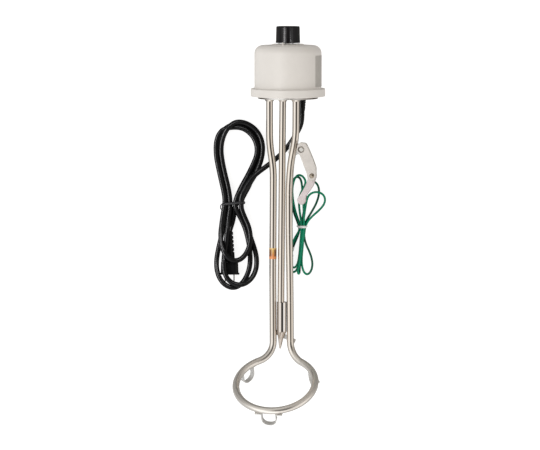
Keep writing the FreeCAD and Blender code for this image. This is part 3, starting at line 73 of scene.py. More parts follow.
# ---------------------------------------------------------------- routes of the two cords, metres, row frame
# supply cord: gland, right side of the hank, three lower and three upper turns through the tie, plug boot
POWER = [
    (0.0331, 0.1625, 0.0364), (0.0331, 0.1522, 0.0351), (0.0311, 0.1412, 0.0310), (0.0260, 0.1315, 0.0274),
    (0.0199, 0.1221, 0.0244), (0.0135, 0.1127, 0.0219), (0.0061, 0.1039, 0.0199), (-0.0024, 0.0960, 0.0185),
    (-0.0113, 0.0887, 0.0177), (-0.0202, 0.0821, 0.0173), (-0.0285, 0.0761, 0.0175), (-0.0363, 0.0693, 0.0179),
    (-0.0432, 0.0604, 0.0182), (-0.0491, 0.0513, 0.0192), (-0.0526, 0.0430, 0.0206), (-0.0544, 0.0359, 0.0199),
    (-0.0542, 0.0287, 0.0184), (-0.0525, 0.0208, 0.0170), (-0.0495, 0.0130, 0.0160), (-0.0462, 0.0058, 0.0152),
    (-0.0433, -0.0013, 0.0149), (-0.0413, -0.0092, 0.0151), (-0.0403, -0.0178, 0.0157), (-0.0412, -0.0270, 0.0160),
    (-0.0439, -0.0359, 0.0165), (-0.0487, -0.0439, 0.0174), (-0.0550, -0.0493, 0.0188), (-0.0618, -0.0511, 0.0206),
    (-0.0684, -0.0497, 0.0227), (-0.0739, -0.0450, 0.0252), (-0.0783, -0.0378, 0.0253), (-0.0814, -0.0293, 0.0226),
    (-0.0828, -0.0199, 0.0194), (-0.0829, -0.0099, 0.0166), (-0.0817, 0.0001, 0.0145), (-0.0802, 0.0115, 0.0130),
    (-0.0785, 0.0216, 0.0124), (-0.0769, 0.0316, 0.0118), (-0.0775, 0.0417, 0.0110), (-0.0799, 0.0538, 0.0103),
    (-0.0831, 0.0674, 0.0105), (-0.0862, 0.0818, 0.0109), (-0.0890, 0.0954, 0.0102), (-0.0900, 0.1076, 0.0098),
    (-0.0895, 0.1183, 0.0098), (-0.0870, 0.1279, 0.0101), (-0.0818, 0.1354, 0.0107), (-0.0749, 0.1388, 0.0106),
    (-0.0675, 0.1400, 0.0100), (-0.0597, 0.1402, 0.0095), (-0.0517, 0.1388, 0.0094), (-0.0446, 0.1348, 0.0095),
    (-0.0380, 0.1285, 0.0095), (-0.0331, 0.1202, 0.0096), (-0.0307, 0.1104, 0.0097), (-0.0315, 0.0997, 0.0095),
    (-0.0351, 0.0904, 0.0093), (-0.0394, 0.0810, 0.0096), (-0.0435, 0.0728, 0.0104), (-0.0484, 0.0638, 0.0118),
    (-0.0537, 0.0542, 0.0138), (-0.0574, 0.0459, 0.0159), (-0.0606, 0.0379, 0.0166), (-0.0627, 0.0302, 0.0160),
    (-0.0606, 0.0222, 0.0144), (-0.0563, 0.0136, 0.0122), (-0.0520, 0.0053, 0.0107), (-0.0484, -0.0033, 0.0100),
    (-0.0457, -0.0122, 0.0098), (-0.0436, -0.0214, 0.0093), (-0.0418, -0.0314, 0.0084), (-0.0410, -0.0415, 0.0079),
    (-0.0407, -0.0515, 0.0080), (-0.0420, -0.0624, 0.0085), (-0.0456, -0.0729, 0.0095), (-0.0511, -0.0820, 0.0111),
    (-0.0580, -0.0880, 0.0137), (-0.0659, -0.0898, 0.0162), (-0.0741, -0.0873, 0.0162), (-0.0811, -0.0814, 0.0158),
    (-0.0859, -0.0734, 0.0151), (-0.0885, -0.0643, 0.0127), (-0.0892, -0.0552, 0.0100), (-0.0886, -0.0455, 0.0078),
    (-0.0865, -0.0343, 0.0060), (-0.0839, -0.0229, 0.0047), (-0.0815, -0.0122, 0.0039), (-0.0792, -0.0013, 0.0037),
    (-0.0771, 0.0096, 0.0039), (-0.0749, 0.0208, 0.0046), (-0.0736, 0.0317, 0.0050), (-0.0745, 0.0432, 0.0045),
    (-0.0771, 0.0561, 0.0038), (-0.0801, 0.0690, 0.0036), (-0.0830, 0.0825, 0.0036), (-0.0853, 0.0957, 0.0036),
    (-0.0864, 0.1078, 0.0036), (-0.0857, 0.1193, 0.0036), (-0.0830, 0.1299, 0.0036), (-0.0776, 0.1381, 0.0036),
    (-0.0702, 0.1428, 0.0036), (-0.0607, 0.1447, 0.0036), (-0.0509, 0.1431, 0.0036), (-0.0420, 0.1384, 0.0036),
    (-0.0346, 0.1310, 0.0036), (-0.0293, 0.1216, 0.0036), (-0.0268, 0.1107, 0.0036), (-0.0274, 0.0992, 0.0036),
    (-0.0297, 0.0883, 0.0036), (-0.0338, 0.0782, 0.0036), (-0.0387, 0.0668, 0.0036), (-0.0431, 0.0550, 0.0039),
    (-0.0489, 0.0449, 0.0044), (-0.0529, 0.0369, 0.0049), (-0.0539, 0.0288, 0.0050), (-0.0528, 0.0202, 0.0046),
    (-0.0498, 0.0107, 0.0040), (-0.0463, 0.0010, 0.0037), (-0.0430, -0.0091, 0.0036), (-0.0396, -0.0194, 0.0036),
    (-0.0359, -0.0301, 0.0042), (-0.0327, -0.0410, 0.0054), (-0.0313, -0.0521, 0.0071), (-0.0324, -0.0636, 0.0094),
    (-0.0368, -0.0738, 0.0121), (-0.0436, -0.0811, 0.0154), (-0.0513, -0.0850, 0.0190), (-0.0591, -0.0854, 0.0207),
    (-0.0667, -0.0827, 0.0208), (-0.0728, -0.0774, 0.0211), (-0.0765, -0.0704, 0.0216), (-0.0783, -0.0621, 0.0216),
    (-0.0784, -0.0533, 0.0216), (-0.0780, -0.0456, 0.0192), (-0.0769, -0.0376, 0.0177), (-0.0756, -0.0279, 0.0176),
    (-0.0745, -0.0179, 0.0176), (-0.0734, -0.0076, 0.0170), (-0.0724, 0.0024, 0.0147), (-0.0713, 0.0124, 0.0131),
    (-0.0697, 0.0222, 0.0122), (-0.0695, 0.0316, 0.0115), (-0.0702, 0.0417, 0.0106), (-0.0725, 0.0546, 0.0099),
    (-0.0756, 0.0674, 0.0097), (-0.0788, 0.0809, 0.0097), (-0.0814, 0.0947, 0.0102), (-0.0827, 0.1067, 0.0113),
    (-0.0818, 0.1175, 0.0129), (-0.0791, 0.1275, 0.0149), (-0.0748, 0.1359, 0.0173), (-0.0688, 0.1429, 0.0169),
    (-0.0609, 0.1477, 0.0144), (-0.0509, 0.1474, 0.0124), (-0.0411, 0.1434, 0.0109), (-0.0325, 0.1365, 0.0098),
    (-0.0262, 0.1271, 0.0093), (-0.0231, 0.1162, 0.0093), (-0.0228, 0.1053, 0.0096), (-0.0248, 0.0941, 0.0099),
    (-0.0288, 0.0823, 0.0105), (-0.0337, 0.0723, 0.0107), (-0.0394, 0.0626, 0.0108), (-0.0451, 0.0543, 0.0110),
    (-0.0509, 0.0466, 0.0110), (-0.0561, 0.0394, 0.0106), (-0.0604, 0.0320, 0.0090), (-0.0632, 0.0236, 0.0076),
    (-0.0641, 0.0150, 0.0067), (-0.0656, 0.0067, 0.0065), (-0.0678, -0.0008, 0.0070), (-0.0695, -0.0056, 0.0083),
    (-0.0704, -0.0094, 0.0094),
]
# earth wire: head, down behind the right stem, five upper and lower turns through its tie, ring lug
EARTH = [
    (0.0245, 0.1810, 0.0211), (0.0245, 0.1619, 0.0188), (0.0242, 0.1317, 0.0155), (0.0199, 0.1047, 0.0112),
    (0.0167, 0.0776, 0.0068), (0.0148, 0.0518, 0.0033), (0.0152, 0.0245, 0.0019), (0.0144, -0.0028, 0.0017),
    (0.0143, -0.0243, 0.0016), (0.0138, -0.0416, 0.0016), (0.0143, -0.0611, 0.0018), (0.0177, -0.0673, 0.0022),
    (0.0226, -0.0677, 0.0031), (0.0266, -0.0637, 0.0043), (0.0285, -0.0554, 0.0048), (0.0298, -0.0416, 0.0039),
    (0.0311, -0.0258, 0.0030), (0.0322, -0.0135, 0.0022), (0.0331, -0.0028, 0.0017), (0.0341, 0.0080, 0.0016),
    (0.0360, 0.0195, 0.0016), (0.0378, 0.0310, 0.0016), (0.0393, 0.0432, 0.0016), (0.0408, 0.0538, 0.0016),
    (0.0450, 0.0614, 0.0016), (0.0505, 0.0630, 0.0016), (0.0549, 0.0596, 0.0016), (0.0575, 0.0541, 0.0016),
    (0.0582, 0.0477, 0.0016), (0.0571, 0.0396, 0.0016), (0.0535, 0.0298, 0.0016), (0.0485, 0.0208, 0.0016),
    (0.0430, 0.0119, 0.0016), (0.0387, 0.0044, 0.0016), (0.0364, -0.0031, 0.0016), (0.0364, -0.0121, 0.0016),
    (0.0374, -0.0215, 0.0016), (0.0403, -0.0301, 0.0016), (0.0443, -0.0384, 0.0016), (0.0473, -0.0470, 0.0016),
    (0.0488, -0.0565, 0.0016), (0.0469, -0.0657, 0.0018), (0.0420, -0.0715, 0.0023), (0.0367, -0.0689, 0.0031),
    (0.0335, -0.0602, 0.0043), (0.0328, -0.0493, 0.0053), (0.0338, -0.0372, 0.0059), (0.0349, -0.0257, 0.0067),
    (0.0352, -0.0143, 0.0068), (0.0346, -0.0028, 0.0056), (0.0358, 0.0079, 0.0046), (0.0376, 0.0202, 0.0042),
    (0.0395, 0.0323, 0.0041), (0.0418, 0.0412, 0.0039), (0.0467, 0.0457, 0.0039), (0.0527, 0.0476, 0.0043),
    (0.0592, 0.0469, 0.0045), (0.0648, 0.0429, 0.0036), (0.0671, 0.0363, 0.0029), (0.0647, 0.0285, 0.0025),
    (0.0577, 0.0208, 0.0024), (0.0496, 0.0139, 0.0027), (0.0439, 0.0081, 0.0032), (0.0401, 0.0024, 0.0039),
    (0.0379, -0.0036, 0.0043), (0.0368, -0.0128, 0.0045), (0.0344, -0.0258, 0.0035), (0.0329, -0.0387, 0.0026),
    (0.0318, -0.0502, 0.0023), (0.0305, -0.0574, 0.0020), (0.0301, -0.0622, 0.0018), (0.0302, -0.0653, 0.0018),
    (0.0300, -0.0676, 0.0024), (0.0295, -0.0693, 0.0041), (0.0287, -0.0699, 0.0064), (0.0280, -0.0693, 0.0087),
    (0.0275, -0.0676, 0.0104), (0.0273, -0.0653, 0.0110), (0.0284, -0.0612, 0.0110), (0.0297, -0.0562, 0.0107),
    (0.0306, -0.0495, 0.0103), (0.0319, -0.0386, 0.0099), (0.0334, -0.0257, 0.0098), (0.0349, -0.0142, 0.0098),
    (0.0362, -0.0028, 0.0088), (0.0362, 0.0094, 0.0078), (0.0358, 0.0223, 0.0065), (0.0352, 0.0353, 0.0047),
    (0.0341, 0.0475, 0.0032), (0.0335, 0.0583, 0.0023), (0.0314, 0.0670, 0.0018), (0.0266, 0.0699, 0.0016),
    (0.0219, 0.0668, 0.0016), (0.0189, 0.0587, 0.0016), (0.0176, 0.0489, 0.0016), (0.0177, 0.0375, 0.0016),
    (0.0197, 0.0254, 0.0016), (0.0232, 0.0139, 0.0016), (0.0268, 0.0050, 0.0016), (0.0298, -0.0033, 0.0016),
    (0.0291, -0.0108, 0.0016), (0.0261, -0.0189, 0.0016), (0.0226, -0.0269, 0.0016), (0.0196, -0.0352, 0.0017),
    (0.0174, -0.0442, 0.0022), (0.0169, -0.0531, 0.0030), (0.0189, -0.0600, 0.0041), (0.0229, -0.0614, 0.0056),
    (0.0266, -0.0573, 0.0073), (0.0286, -0.0499, 0.0075), (0.0299, -0.0394, 0.0073), (0.0313, -0.0265, 0.0074),
    (0.0323, -0.0137, 0.0081), (0.0329, -0.0028, 0.0081), (0.0319, 0.0080, 0.0071), (0.0300, 0.0195, 0.0064),
    (0.0290, 0.0310, 0.0060), (0.0297, 0.0400, 0.0059), (0.0329, 0.0486, 0.0060), (0.0376, 0.0564, 0.0055),
    (0.0389, 0.0638, 0.0049), (0.0343, 0.0706, 0.0046), (0.0280, 0.0723, 0.0046), (0.0233, 0.0676, 0.0046),
    (0.0206, 0.0598, 0.0044), (0.0194, 0.0498, 0.0040), (0.0203, 0.0374, 0.0036), (0.0226, 0.0251, 0.0034),
    (0.0257, 0.0139, 0.0035), (0.0292, 0.0047, 0.0039), (0.0313, -0.0033, 0.0044), (0.0287, -0.0097, 0.0047),
    (0.0241, -0.0171, 0.0045), (0.0204, -0.0243, 0.0046), (0.0184, -0.0315, 0.0050), (0.0175, -0.0378, 0.0053),
    (0.0171, -0.0424, 0.0053),
]


def spline_curve(name, pts, d):
    cu = bpy.data.curves.new(name, "CURVE")
    cu.dimensions = "3D"
    sp = cu.splines.new("NURBS")
    sp.points.add(len(pts) - 1)
    for q, p in zip(sp.points, pts):
        q.co = (*p, 1.0)
    sp.order_u = 3
    sp.use_endpoint_u = True
    sp.resolution_u = 10
    cu.bevel_depth = d / 2
    cu.bevel_resolution = 7
    cu.use_fill_caps = True
    ob = bpy.data.objects.new(name, cu)
    scene.collection.objects.link(ob)
    return ob


def centreline(ob):
    """points of a curve's own line, from a copy with no bevel"""
    cu = ob.data.copy()
    cu.bevel_depth = 0
    tmp = bpy.data.objects.new("tmp_line", cu)
    scene.collection.objects.link(tmp)
    bpy.context.view_layer.update()
    me = bpy.data.meshes.new_from_object(tmp.evaluated_get(bpy.context.evaluated_depsgraph_get()))
    out = [v.co.copy() for v in me.vertices]
    bpy.data.meshes.remove(me)
    bpy.data.objects.remove(tmp)
    bpy.data.curves.remove(cu)
    return out


POWER_D, EARTH_D = 0.00725, 0.003125
power = spline_curve("power_cord", POWER, POWER_D)
earth = spline_curve("earth_wire", EARTH, EARTH_D)
power_line, earth_line = centreline(power), centreline(earth)


def length(line):
    return sum((b - a).length for a, b in zip(line, line[1:]))


print("cord lengths", round(length(power_line), 4), round(length(earth_line), 4))


# ---------------------------------------------------------------- mesh helpers
def mesh_object(name, verts, faces, smooth=True):
    me = bpy.data.meshes.new(name)
    me.from_pydata([tuple(v) for v in verts], [], faces)
    me.validate()
    bm = bmesh.new()
    bm.from_mesh(me)
    bmesh.ops.recalc_face_normals(bm, faces=bm.faces)
    bm.to_mesh(me)
    bm.free()
    for p in me.polygons:
        p.use_smooth = smooth
    ob = bpy.data.objects.new(name, me)
    scene.collection.objects.link(ob)
    return ob


def sweep(name, path, section, across, closed):
    """section points (u, v): u along across, v outwards; across is a fixed direction or one per path point"""
    n, m = len(path), len(section)
    verts, faces = [], []
    for i, p in enumerate(path):
        a = path[(i - 1) % n] if closed or i else path[0]
        b = path[(i + 1) % n] if closed or i < n - 1 else path[-1]
        t = (b - a).normalized()
        w = (across[i] if isinstance(across, list) else across)
        w = (w - t * w.dot(t)).normalized()
        o = t.cross(w).normalized()
        for u, v in section:
            verts.append(p + w * u + o * v)
    for i in range(n if closed else n - 1):
        j = (i + 1) % n
        for k in range(m):
            l = (k + 1) % m
            faces.append((i * m + k, i * m + l, j * m + l, j * m + k))
    if not closed:
        faces.append(tuple(range(m)))
        faces.append(tuple((n - 1) * m + k for k in range(m)))
    return mesh_object(name, verts, faces)


def crossings(line, y):
    """where a line passes the plane at that y: (x, z)"""
    out = []
    for a, b in zip(line, line[1:]):
        if (a.y - y) * (b.y - y) < 0:
            f = (y - a.y) / (b.y - a.y)
            out.append((a.x + (b.x - a.x) * f, a.z + (b.z - a.z) * f))
    return out


def hull(points):
    pts = sorted(set(points))

    def half(seq):
        h = []
        for p in seq:
            while len(h) > 1 and (h[-1][0] - h[-2][0]) * (p[1] - h[-2][1]) - (h[-1][1] - h[-2][1]) * (p[0] - h[-2][0]) <= 0:
                h.pop()
            h.append(p)
        return h[:-1]
    return half(pts) + half(pts[::-1])


def loop_round(centres, r, y, count, tilt=0.0, floor=0.0):
    """closed path that hugs circles of radius r round the centres, in a plane of constant y"""
    ring = []
    for cx, cz in centres:
        for k in range(40):
            a = 2 * math.pi * k / 40
            ring.append((round(cx + r * math.cos(a), 6), round(cz + r * math.sin(a), 6)))
    h = hull(ring)
    per = [0.0]
    for a, b in zip(h, h[1:] + h[:1]):
        per.append(per[-1] + math.hypot(b[0] - a[0], b[1] - a[1]))
    out = []
    x0 = sum(p[0] for p in h) / len(h)
    for k in range(count):
        s = per[-1] * k / count
        i = max(j for j in range(len(per) - 1) if per[j] <= s)
        a, b = h[i], h[(i + 1) % len(h)]
        f = (s - per[i]) / max(per[i + 1] - per[i], 1e-9)
        x, z = a[0] + (b[0] - a[0]) * f, a[1] + (b[1] - a[1]) * f
        out.append(Vector((x, y + tilt * (x - x0), max(z, floor))))
    for _ in range(2):
        out = [(out[k - 1] + out[k] * 2 + out[(k + 1) % count]) / 4 for k in range(count)]
    return out


def soft_tube(name, pts, r, squash=1.0):
    """round tube along a smooth line through a few points"""
    cu = bpy.data.curves.new(name, "CURVE")
    cu.dimensions = "3D"
    sp = cu.splines.new("NURBS")
    sp.points.add(len(pts) - 1)
    for q, p in zip(sp.points, pts):
        q.co = (*p, 1.0)
    sp.order_u = 3
    sp.use_endpoint_u = True
    sp.resolution_u = 8
    cu.bevel_depth = r
    cu.bevel_resolution = 4
    cu.use_fill_caps = True
    tmp = bpy.data.objects.new(name + "_c", cu)
    scene.collection.objects.link(tmp)
    bpy.context.view_layer.update()
    me = bpy.data.meshes.new_from_object(tmp.evaluated_get(bpy.context.evaluated_depsgraph_get()))
    me.name = name
    bpy.data.objects.remove(tmp)
    bpy.data.curves.remove(cu)
    for p in me.polygons:
        p.use_smooth = True
    ob = bpy.data.objects.new(name, me)
    scene.collection.objects.link(ob)
    return ob


def join(name, parts):
    bm = bmesh.new()
    for p in parts:
        bm.from_mesh(p.data)
    me = bpy.data.meshes.new(name)
    bm.to_mesh(me)
    bm.free()
    for p in me.polygons:
        p.use_smooth = True
    for p in parts:
        bpy.data.objects.remove(p)
    ob = bpy.data.objects.new(name, me)
    scene.collection.objects.link(ob)
    return ob


# ---------------------------------------------------------------- materials
def new_mat(name):
    m = bpy.data.materials.new(name)
    m.use_nodes = True
    nt = m.node_tree
    bs = nt.nodes["Principled BSDF"]
    return m, nt, bs


def coords(nt, scale=(1, 1, 1), rot=(0, 0, 0)):
    tc = nt.nodes.new("ShaderNodeTexCoord")
    mp = nt.nodes.new("ShaderNodeMapping")
    mp.inputs["Scale"].default_value = scale
    mp.inputs["Rotation"].default_value = rot
    nt.links.new(tc.outputs["Object"], mp.inputs["Vector"])
    return mp.outputs["Vector"]


def noise(nt, vec, scale, detail=4.0, rough=0.55):
    n = nt.nodes.new("ShaderNodeTexNoise")
    n.inputs["Scale"].default_value = scale
    n.inputs["Detail"].default_value = detail
    n.inputs["Roughness"].default_value = rough
    nt.links.new(vec, n.inputs["Vector"])
    return n.outputs["Fac"]


def ramp(nt, fac, stops):
    r = nt.nodes.new("ShaderNodeValToRGB")
    els = r.color_ramp.elements
    while len(els) < len(stops):
        els.new(0.5)
    for e, (p, c) in zip(els, stops):
        e.position = p
        e.color = (*c, 1.0) if len(c) == 3 else c
    nt.links.new(fac, r.inputs["Fac"])
    return r.outputs["Color"]


def span(nt, fac, lo, hi, a=0.3, b=0.7):
    r = nt.nodes.new("ShaderNodeMapRange")
    r.inputs["From Min"].default_value = a
    r.inputs["From Max"].default_value = b
    r.inputs["To Min"].default_value = lo
    r.inputs["To Max"].default_value = hi
    nt.links.new(fac, r.inputs["Value"])
    return r.outputs["Result"]


def bump(nt, bs, height, strength, dist, prev=None):
    b = nt.nodes.new("ShaderNodeBump")
    b.inputs["Strength"].default_value = strength
    b.inputs["Distance"].default_value = dist
    nt.links.new(height, b.inputs["Height"])
    if prev is not None:
        nt.links.new(prev, b.inputs["Normal"])
    nt.links.new(b.outputs["Normal"], bs.inputs["Normal"])
    return b.outputs["Normal"]


def mix_col(nt, fac, a, b, mode="MIX"):
    x = nt.nodes.new("ShaderNodeMix")
    x.data_type = "RGBA"
    x.blend_type = mode
    if isinstance(fac, float):
        x.inputs[0].default_value = fac
    else:
        nt.links.new(fac, x.inputs[0])
    for sock, v in ((x.inputs[6], a), (x.inputs[7], b)):
        if isinstance(v, tuple):
            sock.default_value = (*v, 1.0)
        else:
            nt.links.new(v, sock)
    return x.outputs[2]


def shade(c, k):
    return tuple(max(0.0, min(1.0, v * k)) for v in c)


def moulded(name, col, rough, spec=0.5, grain=900.0, grain_depth=0.00002, vary=0.05, coat=0.0, patch=(0.0, 0.0, 0.0), dark=None):
    """moulded plastic or rubber: fine grain, soft mottling, rubbed patches; the dark colour, when given, is painted
    shade on the layer lying on the floor
    """
    m, nt, bs = new_mat(name)
    v = coords(nt)
    slow = noise(nt, v, 22.0, 3.0)
    mid = noise(nt, v, 160.0, 4.0)
    c1 = ramp(nt, slow, [(0.3, shade(col, 1 - vary)), (0.7, tuple(min(1.0, a + b) for a, b in zip(shade(col, 1 + vary), patch)))])
    c2 = mix_col(nt, ramp(nt, mid, [(0.42, (0, 0, 0)), (0.75, (0.5, 0.5, 0.5))]), c1, shade(col, 1 - 1.6 * vary))
    if dark:
        # painted shade: the layer that lies on the floor is painted darker than the turns above it, as if shaded by
        # them
        xyz = nt.nodes.new("ShaderNodeSeparateXYZ")
        nt.links.new(v, xyz.inputs["Vector"])
        h = span(nt, xyz.outputs["Z"], 1.0, 0.0, 0.0030, 0.0042)
        c2 = mix_col(nt, h, c2, dark)
    nt.links.new(c2, bs.inputs["Base Color"])
    nt.links.new(span(nt, noise(nt, v, 70.0, 5.0), rough * 0.85, rough * 1.15), bs.inputs["Roughness"])
    bs.inputs["Specular IOR Level"].default_value = spec
    bs.inputs["Coat Weight"].default_value = coat
    n1 = bump(nt, bs, noise(nt, v, grain, 2.0), 0.35, grain_depth)
    bump(nt, bs, noise(nt, v, 45.0, 2.0), 0.12, 0.0004, n1)
    return m


def metal(name, col, rough, stretch=(1, 1, 1), streak=260.0, depth=0.000012, tint=None, vary=0.04, spread=0.35, pickled=None):
    """metal with fine drawn or brushed streaks and slight colour drift; the optional last argument is the share of
    mirror left on the ring end of the element, which is painted paler and less metallic as painted light to brighten it
    """
    m, nt, bs = new_mat(name)
    v = coords(nt, stretch)
    w = coords(nt)
    st = noise(nt, v, streak, 6.0, 0.6)
    slow = noise(nt, w, 14.0, 3.0)
    c = ramp(nt, slow, [(0.3, shade(col, 1 - vary)), (0.72, tint if tint else shade(col, 1 + vary))])
    c = mix_col(nt, ramp(nt, st, [(0.35, (0.0, 0.0, 0.0)), (0.8, (0.28, 0.28, 0.28))]), c, shade(col, 0.82))
    bs.inputs["Metallic"].default_value = 1.0
    # painted light: beyond y -0.16 the ring is painted paler and made less metallic so it reads brighter
    if pickled:
        sep = nt.nodes.new("ShaderNodeSeparateXYZ")
        nt.links.new(w, sep.inputs[0])
        nt.links.new(span(nt, sep.outputs["Y"], 1.0, pickled, -0.160, -0.200), bs.inputs["Metallic"])
        c = mix_col(nt, span(nt, sep.outputs["Y"], 0.0, 0.8, -0.160, -0.200), c, (0.99, 0.95, 0.90))
    nt.links.new(c, bs.inputs["Base Color"])
    nt.links.new(span(nt, st, rough * (1 - spread), rough * (1 + spread)), bs.inputs["Roughness"])
    bump(nt, bs, st, 0.2, depth)
    return m


M = {}
M["cap"] = moulded("mat_cap", (0.68, 0.65, 0.615), 0.44, 0.4, 1500.0, 0.000015, 0.02)
M["black_plastic"] = moulded("mat_black_plastic", (0.005, 0.0045, 0.005), 0.25, 0.17, 1100.0, 0.00002, 0.2)
M["cord_black"] = moulded("mat_cord_black", (0.003, 0.003, 0.0033), 0.22, 0.17, 700.0, 0.00002, 0.2)
# the green wire's dark colour is painted shade on its bottom layer
M["wire_green"] = moulded("mat_wire_green", (0.001, 0.27, 0.14), 0.30, 0.25, 900.0, 0.00001, 0.12, dark=(0.0, 0.075, 0.04))
M["tie_white"] = moulded("mat_tie_white", (0.94, 0.94, 0.94), 0.35, 0.5, 900.0, 0.00001, 0.02)
M["tie_black"] = moulded("mat_tie_black", (0.006, 0.006, 0.007), 0.28, 0.35, 900.0, 0.00001, 0.2)
M["seal_rubber"] = moulded("mat_seal_rubber", (0.02, 0.02, 0.02), 0.6, 0.35, 700.0, 0.00003, 0.15)
M["silicone_red"] = moulded("mat_silicone_red", (0.42, 0.05, 0.03), 0.5, 0.4, 700.0, 0.00002, 0.1)
M["label"] = moulded("mat_label", (0.42, 0.40, 0.37), 0.38, 0.5, 1400.0, 0.00001, 0.05)
M["ceramic"] = moulded("mat_ceramic", (0.74, 0.71, 0.64), 0.3, 0.5, 500.0, 0.00003, 0.04)
M["magnesia"] = moulded("mat_magnesia", (0.72, 0.70, 0.66), 0.9, 0.2, 1500.0, 0.0001, 0.08)
# the polished steel's ring end carries painted light: paler colour, less metal
M["steel_polished"] = metal("mat_steel_polished", (0.78, 0.72, 0.66), 0.07, (14, 0.6, 14), 60.0, 0.000002, (0.80, 0.73, 0.64), pickled=0.72)
M["steel_plate"] = metal("mat_steel_plate", (0.66, 0.645, 0.62), 0.2, (1, 12, 1), 220.0, 0.00001)
pocket_steel = metal("mat_pocket_steel", (0.66, 0.60, 0.55), 0.08, (10, 0.6, 10), 70.0, 0.000003, (0.60, 0.52, 0.45), vary=0.08)

def heat_tint(mat):
    """painted shade and light along the upper side of the pocket, down to the pinched point: a near-black line, a
    painted highlight band beside it, and darker painted sides
    """
    nt = mat.node_tree
    bs = nt.nodes["Principled BSDF"]
    c = bs.inputs["Base Color"].links[0].from_socket
    xyz = nt.nodes.new("ShaderNodeSeparateXYZ")
    nt.links.new(coords(nt), xyz.inputs[0])
    across = span(nt, xyz.outputs["X"], 0.0, 1.0, -0.0028, 0.0111)
    # painted shade and highlight across the pocket: near-black line, near-white highlight band, darker sides
    seam = ramp(nt, across, [(0.0, (0.48, 0.41, 0.36)), (0.22, (0.62, 0.55, 0.49)), (0.30, (0.68, 0.63, 0.58)), (0.44, (0.68, 0.63, 0.58)),
                             (0.49, (0.012, 0.01, 0.008)), (0.61, (0.012, 0.01, 0.008)), (0.68, (1.0, 0.98, 0.95)), (0.86, (1.0, 0.98, 0.95)),
                             (0.93, (0.22, 0.18, 0.15)), (1.0, (0.16, 0.13, 0.11))])
    nt.links.new(mix_col(nt, span(nt, xyz.outputs["Y"], 0.0, 0.9, -0.154, -0.151), c, seam), bs.inputs["Base Color"])


heat_tint(pocket_steel)
foot_steel = metal("mat_foot_steel", (0.80, 0.79, 0.77), 0.34, (1, 6, 1), 220.0, 0.00001)
foot_steel.node_tree.nodes["Principled BSDF"].inputs["Metallic"].default_value = 0.5
M["screw_steel"] = metal("mat_screw_steel", (0.76, 0.74, 0.70), 0.14, (1, 1, 1), 400.0)
M["rivet_bronze"] = metal("mat_rivet_bronze", (0.42, 0.36, 0.29), 0.34, (1, 1, 1), 700.0, 0.00003, vary=0.15)
M["brass"] = metal("mat_brass", (0.72, 0.55, 0.28), 0.24, (1, 6, 1), 300.0, vary=0.08)
M["blade_metal"] = metal("mat_blade_metal", (0.66, 0.60, 0.48), 0.24, (1, 10, 1), 260.0, vary=0.06)
M["copper"] = metal("mat_copper", (0.72, 0.38, 0.24), 0.28, (1, 4, 1), 300.0, vary=0.08)


def hook_coat(name, col):
    """smooth baked coat on pressed plate: slight orange peel, darker specks"""
    m, nt, bs = new_mat(name)
    v = coords(nt)
    slow = noise(nt, v, 55.0, 3.0)
    c = ramp(nt, slow, [(0.3, shade(col, 0.94)), (0.7, shade(col, 1.05))])
    spk = noise(nt, v, 900.0, 3.0)
    c = mix_col(nt, ramp(nt, spk, [(0.55, (0, 0, 0)), (0.8, (0.4, 0.4, 0.4))]), c, shade(col, 0.86))
    nt.links.new(c, bs.inputs["Base Color"])
    bs.inputs["Metallic"].default_value = 0.15
    nt.links.new(span(nt, noise(nt, v, 120.0, 4.0), 0.36, 0.5), bs.inputs["Roughness"])
    n1 = bump(nt, bs, noise(nt, v, 320.0, 3.0), 0.2, 0.00004)
    bump(nt, bs, noise(nt, v, 1400.0, 2.0), 0.15, 0.00001, n1)
    return m


M["hook_grey"] = hook_coat("mat_hook_grey", (0.57, 0.535, 0.50))
hook_low = hook_coat("mat_hook_lower", (0.59, 0.52, 0.52))


